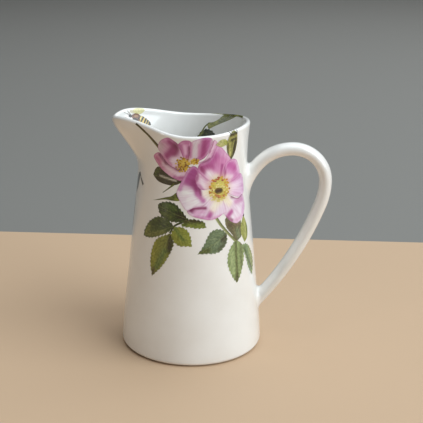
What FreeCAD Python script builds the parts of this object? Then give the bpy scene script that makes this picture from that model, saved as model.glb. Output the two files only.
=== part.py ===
"""Porcelain cream jug with a pulled spout, a luted ear handle and fired-on flower transfers.

Frame: +Z up, origin on the table under the middle of the foot. The spout points to -X, the handle
to +X, and -Y is the front, which carries the larger spray of dog roses. Lengths are millimetres.

The clay body is one casting: its outer wall is a slightly tucked cone that flares again at the neck,
plus a bump that grows towards the rim and makes the spout. The inner wall is the outer one moved in
by the wall's thickness, and the lip between them is half round. The handle is a second casting, and
a fillet of slip holds it at each end. The transfers are thin sheets of ceramic colour on the glaze.
"""

import FreeCAD, Part
import math
import os
import Sketcher

from FreeCAD import Placement, Rotation, Vector

doc = FreeCAD.newDocument("cream_jug")

# ---------------------------------------------------------------- driving dimensions
DIMENSIONS = {
    # outer wall, away from the spout
    "cone_radius": 42.0,       # radius of the cone, taken down to the table
    "cone_slope": 0.109,       # loss of radius per millimetre of height
    "neck_start": 96.0,        # height where the neck begins to flare
    "neck_flare": 0.0032,      # gain of radius per square millimetre above it
    "tuck_height": 26.0,       # height below which the wall tucks in
    "tuck": 0.0011,            # loss of radius per square millimetre below it
    "wall": 2.8,
    # foot
    "corner_radius": 2.2,
    "foot_gap": 0.4,           # the glazed corner stops this far above the table
    "floor_top": 6.5,
    "inner_corner": 6.0,
    "ring_outer": 38.4,
    "ring_inner": 34.5,
    "ring_height": 1.2,
    "ring_round": 0.35,
    "recess_top": 3.0,
    # rim and spout
    "rim_height": 129.5,       # crest of the lip at the front and back
    "spout_rise": 6.8,
    "handle_rise": 3.1,
    "tip_dip": 3.0,
    "tip_dip_width": 0.23,     # radians
    "spout_start": 109.5,
    "spout_slope": 0.70,       # reach gained per millimetre of height
    "spout_reach": 14.2,
    "spout_bend": 3.0,         # softness of the fold where the spout leaves the neck
    "spout_power": 18.5,       # width of the spout at the rim: a larger power is narrower
    "throat_power": 0.9,       # power gained per millimetre below the rim
    # handle: a straight root, then a chain of tangent arcs over the arch and down the back
    "arch_x": 56.4,            # top of the centre line
    "arch_z": 116.9,
    "root_length": 14.0,
    "shoulder_radius": 25.2,
    "shoulder_turn": 50.0,     # degrees
    "crown_radius": 18.8,
    "crown_turn": 90.0,
    "back_radius": 40.0,
    "back_turn": 19.5,
    "tail_radius": 190.0,
    "tail_turn": 22.6,
    "handle_thick": 7.3,
    "handle_width": 10.4,
    # slip fillets: how far each spreads on the wall and along the handle
    "upper_under_wall": 10.0,
    "upper_under_handle": 13.0,
    "upper_over_wall": 4.2,
    "upper_over_handle": 5.0,
    "lower_under_wall": 4.8,
    "lower_under_handle": 5.0,
    "lower_over_wall": 2.2,
    "lower_over_handle": 2.6,
    "slip_edge": 0.25,         # height of the wiped edge of a fillet
    # transfers
    "film": 0.1,
    "film_lift": 0.05,
}

sheet = doc.addObject("Spreadsheet::Sheet", "dimensions")
for row, (alias, value) in enumerate(DIMENSIONS.items(), start=1):
    sheet.set(f"A{row}", alias)
    sheet.set(f"B{row}", str(value))
    sheet.setAlias(f"B{row}", alias)
doc.recompute()


def dim(alias):
    """The value of a driving dimension, read from the spreadsheet."""
    return float(sheet.get(alias))


# ---------------------------------------------------------------- the wall as a formula
def ramp(x, softness):
    """0 below x = 0 and x above it, with a soft bend between."""
    return (x + math.hypot(x, softness)) / 2


def round_radius(z):
    """Outer radius of the jug at height z, away from the spout."""
    flare = max(0.0, z - dim("neck_start"))
    tucked = max(0.0, dim("tuck_height") - z)
    cone = dim("cone_radius") - dim("cone_slope") * z
    return cone + dim("neck_flare") * flare**2 - dim("tuck") * tucked**2


def spout_bump(angle, z):
    """How far the spout pushes the wall out. Angles are measured from the handle's side."""
    start, slope, bend = dim("spout_start"), dim("spout_slope"), dim("spout_bend")
    end = start + dim("spout_reach") / slope
    reach = slope * (ramp(z - start, bend) - ramp(z - end, bend))
    power = dim("spout_power") + dim("throat_power") * max(0.0, dim("rim_height") - z)
    return reach * (0.5 * (1 - math.cos(angle))) ** power


def outer_point(angle, z):
    radius = round_radius(z) + spout_bump(angle, z)
    return Vector(radius * math.cos(angle), radius * math.sin(angle), z)


def outer_normal(angle, z):
    """The wall's outward unit normal, from small steps round it and up it."""
    turn, step = 0.001, 0.01
    around = outer_point(angle + turn, z) - outer_point(angle - turn, z)
    up = outer_point(angle, z + step) - outer_point(angle, z - step)
    return around.cross(up).normalize()


def rim_rise(angle):
    """Height of the lip's crest above its lowest place."""
    towards_handle = math.cos(angle)
    rise = dim("handle_rise") if towards_handle > 0 else dim("spout_rise")
    from_tip = math.remainder(angle - math.pi, 2 * math.pi)
    dip = dim("tip_dip") * math.exp(-((from_tip / dim("tip_dip_width")) ** 2))
    return rise * towards_handle**2 - dip


def wall_level(angle, nominal):
    """Height of a wall row: level low down, and parallel to the rim at the top."""
    level_below = 80.0
    top = dim("rim_height") - dim("wall") / 2
    share = max(0.0, (nominal - level_below) / (top - level_below))
    return nominal + rim_rise(angle) * share**2


def skin_point(angle, z, depth):
    """A point at some depth under the outer skin."""
    return outer_point(angle, z) - outer_normal(angle, z) * depth


# ---------------------------------------------------------------- solids from rings of points
def ring(place, count):
    """The points of place(angle) at evenly spaced angles."""
    return [place(2 * math.pi * i / count) for i in range(count)]


def closed_curve(points):
    """A smooth closed curve through points that are evenly spaced in its parameter."""
    curve = Part.BSplineCurve()
    parameters = [i / len(points) for i in range(len(points) + 1)]
    curve.interpolate(Points=points, PeriodicFlag=True, Parameters=parameters)
    return curve


def mean_distances(rings):
    """The mean distance of each ring from the first one, measured along the surface."""
    distances = [0.0]
    for below, above in zip(rings, rings[1:]):
        gap = sum(a.distanceToPoint(b) for a, b in zip(below, above)) / len(above)
        distances.append(distances[-1] + gap)
    return distances


def smooth_face(rings):
    """One surface through all the rings: round them first, then across them."""
    curves = [closed_curve(points) for points in rings]
    distances = mean_distances(rings)
    across = []
    for poles in zip(*[curve.getPoles() for curve in curves]):
        column = Part.BSplineCurve()
        column.interpolate(Points=list(poles), Parameters=distances)
        across.append(column)
    surface = Part.BSplineSurface()
    surface.buildFromPolesMultsKnots(
        [column.getPoles() for column in across],
        curves[0].getMultiplicities(),
        across[0].getMultiplicities(),
        curves[0].getKnots(),
        across[0].getKnots(),
        True,
        False,
        curves[0].Degree,
        across[0].Degree,
    )
    return surface.toShape()


def ring_solid(*stretches):
    """A solid whose side is made of smooth stretches, each a list of rings, with flat ends."""
    faces = [smooth_face(rings) for rings in stretches]
    for points in (stretches[0][0], stretches[-1][-1]):
        faces.append(Part.Face(Part.Wire(closed_curve(points).toShape())))
    shell = Part.makeShell(faces)
    shell.sewShape()
    solid = Part.makeSolid(shell)
    if solid.Volume < 0:
        solid.reverse()
    return solid


def add_shape(name, shape):
    """A Part::Feature that holds a shape made by Part's own functions."""
    feature = doc.addObject("Part::Feature", name)
    feature.Label = name
    feature.Shape = shape
    feature.Placement = Placement()
    return feature


# ---------------------------------------------------------------- body
AROUND = 96
# Wall rows are closer together where the wall bends: at the neck's fold and under the lip.
ROWS = (9, 17, 28, 40, 53, 66, 78, 88, 96, 102, 106.5, 110, 113, 116, 119, 122, 124.5, 126.5)
LIP_STEPS = 8
CORNER_STEPS = 6


def wall_ring(row, depth):
    return ring(lambda a: skin_point(a, wall_level(a, row), depth), AROUND)


def corner_row(height, depth, radius):
    """The wall row from which a quarter round of that radius comes down to that height."""
    tilt = outer_normal(0.0, height + radius).z
    return height + radius * (1 + tilt) + depth * tilt


def corner_rings(row, depth, radius):
    """The quarter round below a level wall row, ending in a flat ring."""
    edge = skin_point(0.0, row, depth)
    normal = outer_normal(0.0, row)
    start = math.atan2(normal.z, normal.x)
    rings = []
    for i in range(1, CORNER_STEPS + 1):
        turn = start - (math.pi / 2 + start) * i / CORNER_STEPS
        r = edge.x + radius * (math.cos(turn) - normal.x)
        z = edge.z + radius * (math.sin(turn) - normal.z)
        rings.append(ring(lambda a: Vector(r * math.cos(a), r * math.sin(a), z), AROUND))
    return rings


def lip_ring(turn):
    """A ring of the half round lip, from the outer wall at 0 to the inner wall at half a turn."""
    radius = dim("wall") / 2
    top = dim("rim_height") - radius

    def place(angle):
        z = wall_level(angle, top)
        normal = outer_normal(angle, z)
        around = Vector(-math.sin(angle), math.cos(angle), 0)
        around = (around - normal * around.dot(normal)).normalize()
        up = normal.cross(around)
        middle = outer_point(angle, z) - normal * radius
        return middle + (normal * math.cos(turn) + up * math.sin(turn)) * radius

    return ring(place, AROUND)


def casting_rings():
    """From the foot's outer corner up the outside, over the lip and down to the inside floor."""
    wall = dim("wall")
    foot_row = corner_row(dim("foot_gap"), 0.0, dim("corner_radius"))
    floor_row = corner_row(dim("floor_top"), wall, dim("inner_corner"))
    top_row = dim("rim_height") - wall / 2
    rings = list(reversed(corner_rings(foot_row, 0.0, dim("corner_radius"))))
    rings += [wall_ring(row, 0.0) for row in (foot_row, *ROWS, top_row)]
    rings += [lip_ring(math.pi * i / LIP_STEPS) for i in range(1, LIP_STEPS)]
    inner_rows = [floor_row, *[row for row in ROWS if row > floor_row + 3], top_row]
    rings += [wall_ring(row, wall) for row in reversed(inner_rows)]
    rings += corner_rings(floor_row, wall, dim("inner_corner"))
    return rings


def disc(alias_radius, alias_height):
    """A cylinder that stands on the table and takes its size from the spreadsheet."""
    cylinder = doc.addObject("Part::Cylinder", f"{alias_radius}_tool")
    cylinder.setExpression("Radius", f"dimensions.{alias_radius}")
    cylinder.setExpression("Height", f"dimensions.{alias_height}")
    return cylinder


def cut(name, base, tool):
    """A Part::Cut of one object out of another."""
    feature = doc.addObject("Part::Cut", name)
    feature.Label = name
    feature.Base = base
    feature.Tool = tool
    return feature


def level_solid(depth, low_row, high_row):
    """A solid plug of the jug whose side lies at a constant depth under the outer skin."""
    rows = [low_row, *[row for row in ROWS if low_row + 3 < row < high_row - 1], high_row]
    side = [wall_ring(row, depth) for row in rows]
    below, above = (
        ring(lambda a: Vector(20 * math.cos(a), 20 * math.sin(a), z), AROUND)
        for z in (low_row - 5, 150)
    )
    return ring_solid([below, side[0]], side, [side[-1], above])


casting = add_shape("casting", ring_solid(casting_rings()))
heart = add_shape("heart", level_solid(dim("wall") / 2, 12.0, 122.0))
seated_casting = cut("seated_casting", casting, disc("ring_outer", "ring_height"))
body = cut("body", seated_casting, disc("ring_inner", "recess_top"))


# ---------------------------------------------------------------- PartDesign helpers
def new_body(name):
    part = doc.addObject("PartDesign::Body", name)
    part.Label = name
    return part


def new_sketch(part, name, plane, offset=None):
    """A sketch on one of the origin planes of a PartDesign body."""
    sketch = part.newObject("Sketcher::SketchObject", name)
    origin = next(item for item in part.Origin.OriginFeatures if item.Role == plane)
    sketch.AttachmentSupport = [(origin, "")]
    sketch.MapMode = "FlatFace"
    if offset is not None:
        sketch.AttachmentOffset = offset
    return sketch


def constrain(sketch, alias, *constraint, unit=""):
    """Adds a dimension to a sketch and binds it to the spreadsheet."""
    value = math.radians(dim(alias)) if unit else dim(alias)
    index = sketch.addConstraint(Sketcher.Constraint(*constraint, value))
    name = f"{alias}_{index}"
    sketch.renameConstraint(index, name)
    sketch.setExpression(f"Constraints.{name}", f"dimensions.{alias}{unit}")


# ---------------------------------------------------------------- foot ring
foot_ring = new_body("foot_ring")
ring_sketch = new_sketch(foot_ring, "ring_profile", "XZ_Plane")
inner, outer, height = dim("ring_inner"), dim("ring_outer"), dim("ring_height")
corners = [Vector(inner, 0), Vector(outer, 0), Vector(outer, height), Vector(inner, height)]
for i, corner in enumerate(corners):
    ring_sketch.addGeometry(Part.LineSegment(corner, corners[(i + 1) % 4]))
for i in range(4):
    ring_sketch.addConstraint(Sketcher.Constraint("Coincident", i, 2, (i + 1) % 4, 1))
    ring_sketch.addConstraint(Sketcher.Constraint("Vertical" if i % 2 else "Horizontal", i))
ring_sketch.addConstraint(Sketcher.Constraint("PointOnObject", 0, 1, -1))
constrain(ring_sketch, "ring_inner", "DistanceX", -1, 1, 0, 1)
constrain(ring_sketch, "ring_outer", "DistanceX", -1, 1, 1, 1)
constrain(ring_sketch, "ring_height", "DistanceY", 1, 1, 1, 2)
turned_ring = foot_ring.newObject("PartDesign::Revolution", "turned_ring")
turned_ring.Profile = ring_sketch
turned_ring.ReferenceAxis = (ring_sketch, ["V_Axis"])
turned_ring.Angle = 360
doc.recompute()
treads = [
    f"Edge{i}"
    for i, edge in enumerate(turned_ring.Shape.Edges, start=1)
    if edge.Length > 1.5 * math.pi * inner and edge.BoundBox.ZMax < height / 2
]
rounding = foot_ring.newObject("PartDesign::Fillet", "ring_rounding")
rounding.Base = (turned_ring, treads)
rounding.setExpression("Radius", "dimensions.ring_round")


# ---------------------------------------------------------------- handle
# Each piece of the centre line is (length or radius, turn); a straight piece has no turn.
HANDLE_PIECES = (
    ("root_length", None),
    ("shoulder_radius", "shoulder_turn"),
    ("crown_radius", "crown_turn"),
    ("back_radius", "back_turn"),
    ("tail_radius", "tail_turn"),
)


def rotated(vector, degrees):
    """A vector of the XZ plane, turned clockwise as seen from the front."""
    return Rotation(Vector(0, 1, 0), degrees) * vector


def outward(heading):
    """The unit vector to the left of a heading, away from the finger gap."""
    return rotated(heading, -90)


def handle_start():
    """Start point and heading of the centre line, worked back from the arch's top."""
    heading = rotated(Vector(1, 0, 0), -dim("shoulder_turn"))
    centre = Vector(dim("arch_x"), 0, dim("arch_z") - dim("shoulder_radius"))
    shoulder = centre + outward(heading) * dim("shoulder_radius")
    return shoulder - heading * dim("root_length"), heading


def handle_stations():
    """Start point, heading, length and radius of each piece of the centre line."""
    point, heading = handle_start()
    stations = []
    for size, turn in HANDLE_PIECES:
        if turn is None:
            stations.append((point, heading, dim(size), math.inf))
            point = point + heading * dim(size)
            continue
        radius = dim(size)
        stations.append((point, heading, radius * math.radians(dim(turn)), radius))
        centre = point - outward(heading) * radius
        heading = rotated(heading, dim(turn))
        point = centre + outward(heading) * radius
    return stations


STATIONS = handle_stations()
HANDLE_LENGTH = sum(length for _, _, length, _ in STATIONS)


def along(station, distance):
    """Point and heading at a distance along one piece, or straight on beyond its ends."""
    point, heading, length, radius = station
    if math.isinf(radius):
        return point + heading * distance, heading
    inside = min(max(distance, 0.0), length)
    turned_heading = rotated(heading, math.degrees(inside / radius))
    end = point + (outward(turned_heading) - outward(heading)) * radius
    return end + turned_heading * (distance - inside), turned_heading


def handle_point(distance, turn, grow):
    """A point on the handle's skin: turn is 0 outside and half a turn at the finger gap."""
    station = STATIONS[0]
    left = distance
    for station in STATIONS:
        if left < station[2]:
            break
        left -= station[2]
    else:
        left += station[2]
    centre, heading = along(station, left)
    thick, wide = dim("handle_thick") / 2 + grow, dim("handle_width") / 2 + grow
    return centre + outward(heading) * thick * math.cos(turn) + Vector(0, wide * math.sin(turn), 0)


handle_blank = new_body("handle_blank")
path = new_sketch(handle_blank, "handle_path", "XZ_Plane")
ends = []
for point, heading, length, radius in STATIONS:
    last, _ = along((point, heading, length, radius), length)
    if math.isinf(radius):
        path.addGeometry(Part.LineSegment(Vector(point.x, point.z), Vector(last.x, last.z)))
        ends.append((1, 2))
        continue
    centre = point - outward(heading) * radius
    circle = Part.Circle(Vector(centre.x, centre.z), Vector(0, 0, 1), radius)
    first_angle = math.atan2(outward(heading).z, outward(heading).x)
    path.addGeometry(Part.ArcOfCircle(circle, first_angle - length / radius, first_angle))
    ends.append((2, 1))
for i in range(1, len(STATIONS)):
    path.addConstraint(Sketcher.Constraint("Tangent", i - 1, ends[i - 1][1], i, ends[i][0]))
for i, (size, turn) in enumerate(HANDLE_PIECES):
    constrain(path, size, *(("Distance", i) if turn is None else ("Radius", i)))
    if turn is not None:
        constrain(path, turn, "Angle", i, unit=" * 1 deg")
path.addConstraint(Sketcher.Constraint("Vertical", 2, 3, 2, 2))
constrain(path, "arch_x", "DistanceX", -1, 1, 2, 2)
constrain(path, "arch_z", "DistanceY", -1, 1, 2, 2)

start, _ = handle_start()
section_offset = Placement(
    Vector(0, start.z, start.x), Rotation(Vector(1, 0, 0), -dim("shoulder_turn"))
)
section = new_sketch(handle_blank, "handle_section", "YZ_Plane", section_offset)
section.addGeometry(
    Part.Ellipse(Vector(0, 0, 0), dim("handle_width") / 2, dim("handle_thick") / 2)
)
section.exposeInternalGeometry(0)
section.addConstraint(Sketcher.Constraint("Coincident", 0, 3, -1, 1))
section.addConstraint(Sketcher.Constraint("Horizontal", 1))
constrain(section, "handle_width", "Distance", 1)
constrain(section, "handle_thick", "Distance", 2)
doc.recompute()
pipe = handle_blank.newObject("PartDesign::AdditivePipe", "handle_pipe")
pipe.Profile = section
pipe.Spine = (path, [f"Edge{i + 1}" for i in range(len(STATIONS))])
handle_on_wall = cut("handle_on_wall", handle_blank, casting)
handle = cut("handle", handle_on_wall, heart)


# ---------------------------------------------------------------- slip fillets
FILLET_AROUND = 48
FILLET_STEPS = 8


def wall_point(arc, z, grow):
    """A point of the wall below the rim, at a distance arc round from the handle's middle."""
    radius = round_radius(z)
    angle = arc / radius
    radius += grow
    return Vector(radius * math.cos(angle), radius * math.sin(angle), z)


def wall_crossing(turn, buried, clear, grow):
    """Where a line along the handle's skin passes through the wall, by halving."""
    for _ in range(40):
        middle = (buried + clear) / 2
        point = handle_point(middle, turn, grow)
        if math.hypot(point.x, point.y) < round_radius(point.z) + grow:
            buried = middle
        else:
            clear = middle
    return clear


def fillet_blank(end, buried, clear):
    """The fillet at one end of the handle, with stubs that reach into the wall and the handle."""
    edge = dim("slip_edge")
    forward = math.copysign(1, clear - buried)
    middle = wall_crossing(math.pi / 2, buried, clear, 0.0)
    centre = handle_point(middle, math.pi / 2, 0.0)

    def leg(turn, surface):
        under, over = dim(f"{end}_under_{surface}"), dim(f"{end}_over_{surface}")
        return over + (under - over) * (1 - math.cos(turn)) / 2

    def corner(turn):
        return wall_crossing(turn, buried, clear, edge)

    def on_wall(turn, grow, spread=None):
        point = handle_point(corner(turn), turn, edge)
        arc = math.atan2(point.y, point.x) * round_radius(point.z)
        reach = math.hypot(arc, point.z - centre.z)
        far = reach + leg(turn, "wall") if spread is None else reach * spread
        return wall_point(arc * far / reach, centre.z + (point.z - centre.z) * far / reach, grow)

    def on_handle(turn, grow):
        return handle_point(corner(turn) + forward * leg(turn, "handle"), turn, grow)

    def bend(share):
        def place(turn):
            wall_end, handle_end = on_wall(turn, edge), on_handle(turn, edge)
            between = handle_point(corner(turn), turn, edge)
            near, far = (1 - share) ** 2, share**2
            return wall_end * near + between * (1 - near - far) + handle_end * far

        return place

    def flat_in_wall(turn):
        point = on_wall(turn, -1.5, spread=0.5)
        return Vector(round_radius(centre.z) - 1.6, point.y, point.z)

    def flat_in_handle(turn):
        return handle_point(middle + forward * (leg(math.pi, "handle") + 3), turn, -2.0)

    wall_foot = ring(lambda a: on_wall(a, -0.9), FILLET_AROUND)
    curve = [ring(bend(i / FILLET_STEPS), FILLET_AROUND) for i in range(FILLET_STEPS + 1)]
    handle_foot = ring(lambda a: on_handle(a, -0.9), FILLET_AROUND)
    return ring_solid(
        [ring(flat_in_wall, FILLET_AROUND), wall_foot],
        [wall_foot, curve[0]],
        curve,
        [curve[-1], handle_foot],
        [handle_foot, ring(flat_in_handle, FILLET_AROUND)],
    )


def add_fillet(end, buried, clear):
    blank = add_shape(f"{end}_slip", fillet_blank(end, buried, clear))
    on_body = cut(f"{end}_slip_on_wall", blank, casting)
    return cut(f"handle_{end}_joint", on_body, handle_blank)


upper_joint = add_fillet("upper", -4.0, 20.0)
lower_joint = add_fillet("lower", HANDLE_LENGTH + 5.0, HANDLE_LENGTH - 27.0)


# ---------------------------------------------------------------- transfers
# Motifs are drawn on the unrolled wall: millimetres round from the front, and height.
UNROLLED_RADIUS = 33.0


def rose(centre, across, tall, tilt):
    """The closed outline of a five-petalled flower; tilt, in degrees, is a petal's direction."""
    curve = Part.BSplineCurve()
    points = []
    for i in range(40):
        turn = 2 * math.pi * i / 40
        lobe = 0.455 + 0.045 * math.cos(5 * (turn - math.radians(tilt)))
        offset = Vector(across * lobe * math.cos(turn), tall * lobe * math.sin(turn))
        points.append(Vector(*centre) + offset)
    curve.interpolate(Points=points, PeriodicFlag=True)
    return [curve.toShape()]


def leaf(base, tip, left, right):
    """A pointed leaf: two edges that bow out by left and by right, fuller near the base."""
    start, end = Vector(*base), Vector(*tip)
    across = Vector(start.y - end.y, end.x - start.x).normalize()
    edges = []
    for bow in (-right, left):
        swell = start + (end - start) * 0.38 + across * bow
        taper = start + (end - start) * 0.74 + across * (0.68 * bow)
        curve = Part.BSplineCurve()
        curve.interpolate(Points=[start, swell, taper, end])
        edges.append(curve.toShape())
    return edges


def stem(start, end, width):
    """A straight stem of even width, with square ends."""
    first, last = Vector(*start), Vector(*end)
    side = Vector(first.y - last.y, last.x - first.x) * (width / 2 / (last - first).Length)
    corners = [first - side, last - side, last + side, first + side]
    return [Part.makeLine(corners[i], corners[(i + 1) % 4]) for i in range(4)]


def oval(centre, across, tall):
    """An upright oval."""
    ellipse = Part.Ellipse(Vector(*centre), max(across, tall) / 2, min(across, tall) / 2)
    edge = ellipse.toShape()
    if tall > across:
        edge.rotate(Vector(*centre), Vector(0, 0, 1), 90)
    return [edge]


def prism(outlines, middle):
    """Straight cutters for a motif, square to the wall at the motif's middle (degrees)."""
    faces = [Part.Face(Part.Wire(Part.sortEdges(edges)[0])) for edges in outlines]
    flat = faces[0]
    if len(faces) > 1:
        flat = faces[0].fuse(faces[1:]).removeSplitter()
    origin = UNROLLED_RADIUS * math.radians(middle + 90)
    solid = flat.extrude(Vector(0, 0, 44))
    solid.translate(Vector(-origin, 0, 10))
    # The drawing's x goes round the wall, its y up the wall and its z straight out.
    solid.rotate(Vector(0, 0, 0), Vector(1, 0, 0), 90)
    solid.rotate(Vector(0, 0, 0), Vector(0, 0, 1), middle + 90)
    return solid


def film_skin(name, depth):
    """A shell as thin as a transfer, just clear of the outer or the inner wall."""
    inner = level_solid(depth, 30.0, dim("rim_height") - dim("wall") / 2)
    outer = level_solid(depth - dim("film"), 30.0, dim("rim_height") - dim("wall") / 2)
    return cut(name, add_shape(f"{name}_outer", outer), add_shape(f"{name}_inner", inner))


OUTSIDE = film_skin("outside_film", -dim("film_lift"))
INSIDE = film_skin("inside_film", dim("wall") + dim("film_lift") + dim("film"))

# name: (outlines, middle in degrees, skin). A motif is printed over all the ones below it.
TRANSFERS = {
    "rosebud_transfer": (
        [leaf((25.9, 115.6), (26.8, 131.2), 3.6, 3.4), leaf((24.0, 124.4), (14.6, 125.4), 1.2, 2.4)],
        -46.0,
        OUTSIDE,
    ),
    "right_rose_transfer": ([rose((16.2, 101.6), 44.0, 42.0, 54)], -60.0, OUTSIDE),
    "left_rose_transfer": ([rose((-3.9, 116.8), 39.0, 24.6, 90)], -93.0, OUTSIDE),
    "left_leaves_transfer": (
        [
            stem((-0.9, 84.9), (-8.6, 80.1), 1.2),
            stem((-8.2, 80.4), (-10.6, 75.0), 1.1),
            leaf((-1.2, 84.8), (-19.0, 90.6), 4.0, 5.2),
            leaf((-8.4, 80.2), (-28.2, 71.2), 2.0, 7.0),
            leaf((-1.8, 84.4), (9.3, 79.8), 2.6, 2.9),
            leaf((-8.2, 80.2), (1.6, 69.5), 4.0, 4.8),
            leaf((-10.4, 76.4), (-19.8, 50.0), 4.6, 6.0),
        ],
        -103.0,
        OUTSIDE,
    ),
    "right_leaves_transfer": (
        [
            stem((14.6, 85.4), (26.8, 69.8), 1.6),
            stem((26.4, 70.6), (32.4, 65.4), 1.1),
            leaf((21.8, 75.6), (4.4, 65.2), 5.0, 5.6),
            leaf((26.9, 70.4), (26.3, 45.6), 5.8, 5.2),
            leaf((31.6, 66.4), (40.8, 45.4), 5.6, 0.8),
            leaf((27.6, 69.0), (25.6, 86.0), 4.6, 5.6),
            leaf((34.6, 66.8), (35.6, 82.8), 3.0, 3.6),
        ],
        -50.0,
        OUTSIDE,
    ),
    "sepal_leaf_transfer": (
        [leaf((-1.0, 105.4), (-23.8, 106.6), 3.0, 5.4), stem((-8.0, 104.6), (-16.0, 98.0), 0.9)],
        -118.0,
        OUTSIDE,
    ),
    "small_leaf_transfer": ([leaf((-1.0, 96.6), (-23.0, 92.4), 1.8, 1.2)], -112.0, OUTSIDE),
    "rim_stem_transfer": ([stem((-33.4, 133.2), (-19.0, 122.4), 1.4)], -133.0, OUTSIDE),
    "spout_sprig_transfer": (
        [leaf((-38.2, 104.6), (-45.0, 91.6), 2.2, 2.0), stem((-38.8, 103.4), (-33.0, 98.6), 1.0)],
        -158.0,
        OUTSIDE,
    ),
    "bee_transfer": (
        [leaf((146.6, 131.9), (136.4, 124.2), 2.2, 2.4), leaf((142.6, 130.6), (138.2, 134.6), 1.8, 1.6)],
        156.0,
        INSIDE,
    ),
    "inner_sprig_transfer": (
        [
            leaf((102.6, 115.6), (88.6, 117.2), 2.0, 3.4),
            stem((95.2, 124.2), (99.6, 117.6), 1.0),
            leaf((96.2, 123.6), (75.0, 130.6), 2.6, 1.2),
        ],
        62.0,
        INSIDE,
    ),
    "back_rose_transfer": ([rose((104.0, 102.0), 39.0, 38.0, 90)], 90.0, OUTSIDE),
    "back_leaves_transfer": (
        [
            stem((104.0, 86.0), (103.6, 74.0), 1.4),
            leaf((104.0, 77.0), (119.4, 82.6), 4.2, 4.2),
            leaf((104.0, 77.0), (88.6, 82.6), 4.2, 4.2),
            leaf((103.6, 76.4), (100.4, 51.0), 5.6, 4.4),
        ],
        90.0,
        OUTSIDE,
    ),
}
doc.recompute()

printed_over = []
for name, (outlines, middle, skin) in TRANSFERS.items():
    cutter = prism(outlines, middle)
    film = skin.Shape.common(cutter)
    for other_skin, other_cutter in printed_over:
        if other_skin is skin:
            film = film.cut(other_cutter)
    printed_over.append((skin, cutter))
    # A leaf's tip that shows beyond a flower printed over it is too small to keep.
    add_shape(name, max(film.Solids, key=lambda solid: solid.Volume))


# ---------------------------------------------------------------- output
NODES = ["body", "foot_ring", "handle", "handle_upper_joint", "handle_lower_joint", *TRANSFERS]

doc.recompute()
for obj in doc.Objects:
    if "Invalid" in obj.State or "Error" in obj.State:
        raise RuntimeError(f"{obj.Label} did not recompute: {obj.State}")
os.makedirs("parts", exist_ok=True)
for node in NODES:
    shape = doc.getObject(node).Shape
    if shape.isNull() or not shape.isValid() or len(shape.Solids) != 1:
        raise RuntimeError(f"{node} is not one valid solid")
    shape.exportStep(f"parts/{node}.step")
    print(f"{node}: {shape.Volume:.1f} cubic millimetres")
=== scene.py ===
"""The looks of a porcelain cream jug, in the frame of its clay parts.

The clay parts are fine meshes of the formulas that give their shape. The printed transfers are
thin sheets that follow the wall: one for each petal, leaf and stem, and one for each group of
small marks. They are painted by colours at their points and by procedural veins. Lengths are
millimetres until a mesh is made.
"""

import math
import random

import bpy
import numpy as np
from mathutils import Matrix, Vector
from mathutils.geometry import delaunay_2d_cdt


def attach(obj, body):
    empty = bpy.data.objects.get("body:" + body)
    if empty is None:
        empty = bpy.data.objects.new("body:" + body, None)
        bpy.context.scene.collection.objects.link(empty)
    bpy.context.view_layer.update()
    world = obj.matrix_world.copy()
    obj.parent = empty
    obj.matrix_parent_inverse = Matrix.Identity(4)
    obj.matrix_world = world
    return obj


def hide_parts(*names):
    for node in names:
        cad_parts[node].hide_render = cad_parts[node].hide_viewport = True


MM = 0.001
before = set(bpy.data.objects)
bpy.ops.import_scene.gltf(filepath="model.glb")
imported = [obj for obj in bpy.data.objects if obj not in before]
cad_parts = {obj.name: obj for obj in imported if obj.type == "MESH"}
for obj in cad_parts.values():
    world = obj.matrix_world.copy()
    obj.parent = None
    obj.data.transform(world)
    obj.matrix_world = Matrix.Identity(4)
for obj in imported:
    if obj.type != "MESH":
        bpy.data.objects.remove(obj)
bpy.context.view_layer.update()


# ---------------------------------------------------------------- the wall as a formula
CONE_RADIUS, CONE_SLOPE = 42.0, 0.109
NECK_START, NECK_FLARE = 96.0, 0.0032
TUCK_HEIGHT, TUCK = 26.0, 0.0011
WALL = 2.8
RIM_HEIGHT, SPOUT_RISE, HANDLE_RISE = 129.5, 6.8, 3.1
TIP_DIP, TIP_DIP_WIDTH = 3.0, 0.23
SPOUT_START, SPOUT_SLOPE, SPOUT_REACH, SPOUT_BEND = 109.5, 0.70, 14.2, 3.0
SPOUT_POWER, THROAT_POWER = 18.5, 0.9
FOOT_GAP, CORNER_RADIUS = 0.4, 2.2
FLOOR_TOP, INNER_CORNER = 6.5, 6.0
RING_OUTER, RING_INNER, RING_HEIGHT, RECESS_TOP = 38.4, 34.5, 1.2, 3.0
AROUND = 288


def ramp(x, softness):
    return (x + np.hypot(x, softness)) / 2


def round_radius(z):
    flare = np.maximum(0.0, z - NECK_START)
    tucked = np.maximum(0.0, TUCK_HEIGHT - z)
    return CONE_RADIUS - CONE_SLOPE * z + NECK_FLARE * flare**2 - TUCK * tucked**2


def outer_point(angle, z):
    """Points of the outer skin; angles are measured from the handle's side."""
    end = SPOUT_START + SPOUT_REACH / SPOUT_SLOPE
    reach = SPOUT_SLOPE * (ramp(z - SPOUT_START, SPOUT_BEND) - ramp(z - end, SPOUT_BEND))
    power = SPOUT_POWER + THROAT_POWER * np.maximum(0.0, RIM_HEIGHT - z)
    radius = round_radius(z) + reach * (0.5 * (1 - np.cos(angle))) ** power
    return np.stack([radius * np.cos(angle), radius * np.sin(angle), z + 0 * angle], axis=-1)


def unit(vectors):
    return vectors / np.linalg.norm(vectors, axis=-1, keepdims=True)


def outer_normal(angle, z):
    turn, step = 0.001, 0.01
    around = outer_point(angle + turn, z) - outer_point(angle - turn, z)
    up = outer_point(angle, z + step) - outer_point(angle, z - step)
    return unit(np.cross(around, up))


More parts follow.
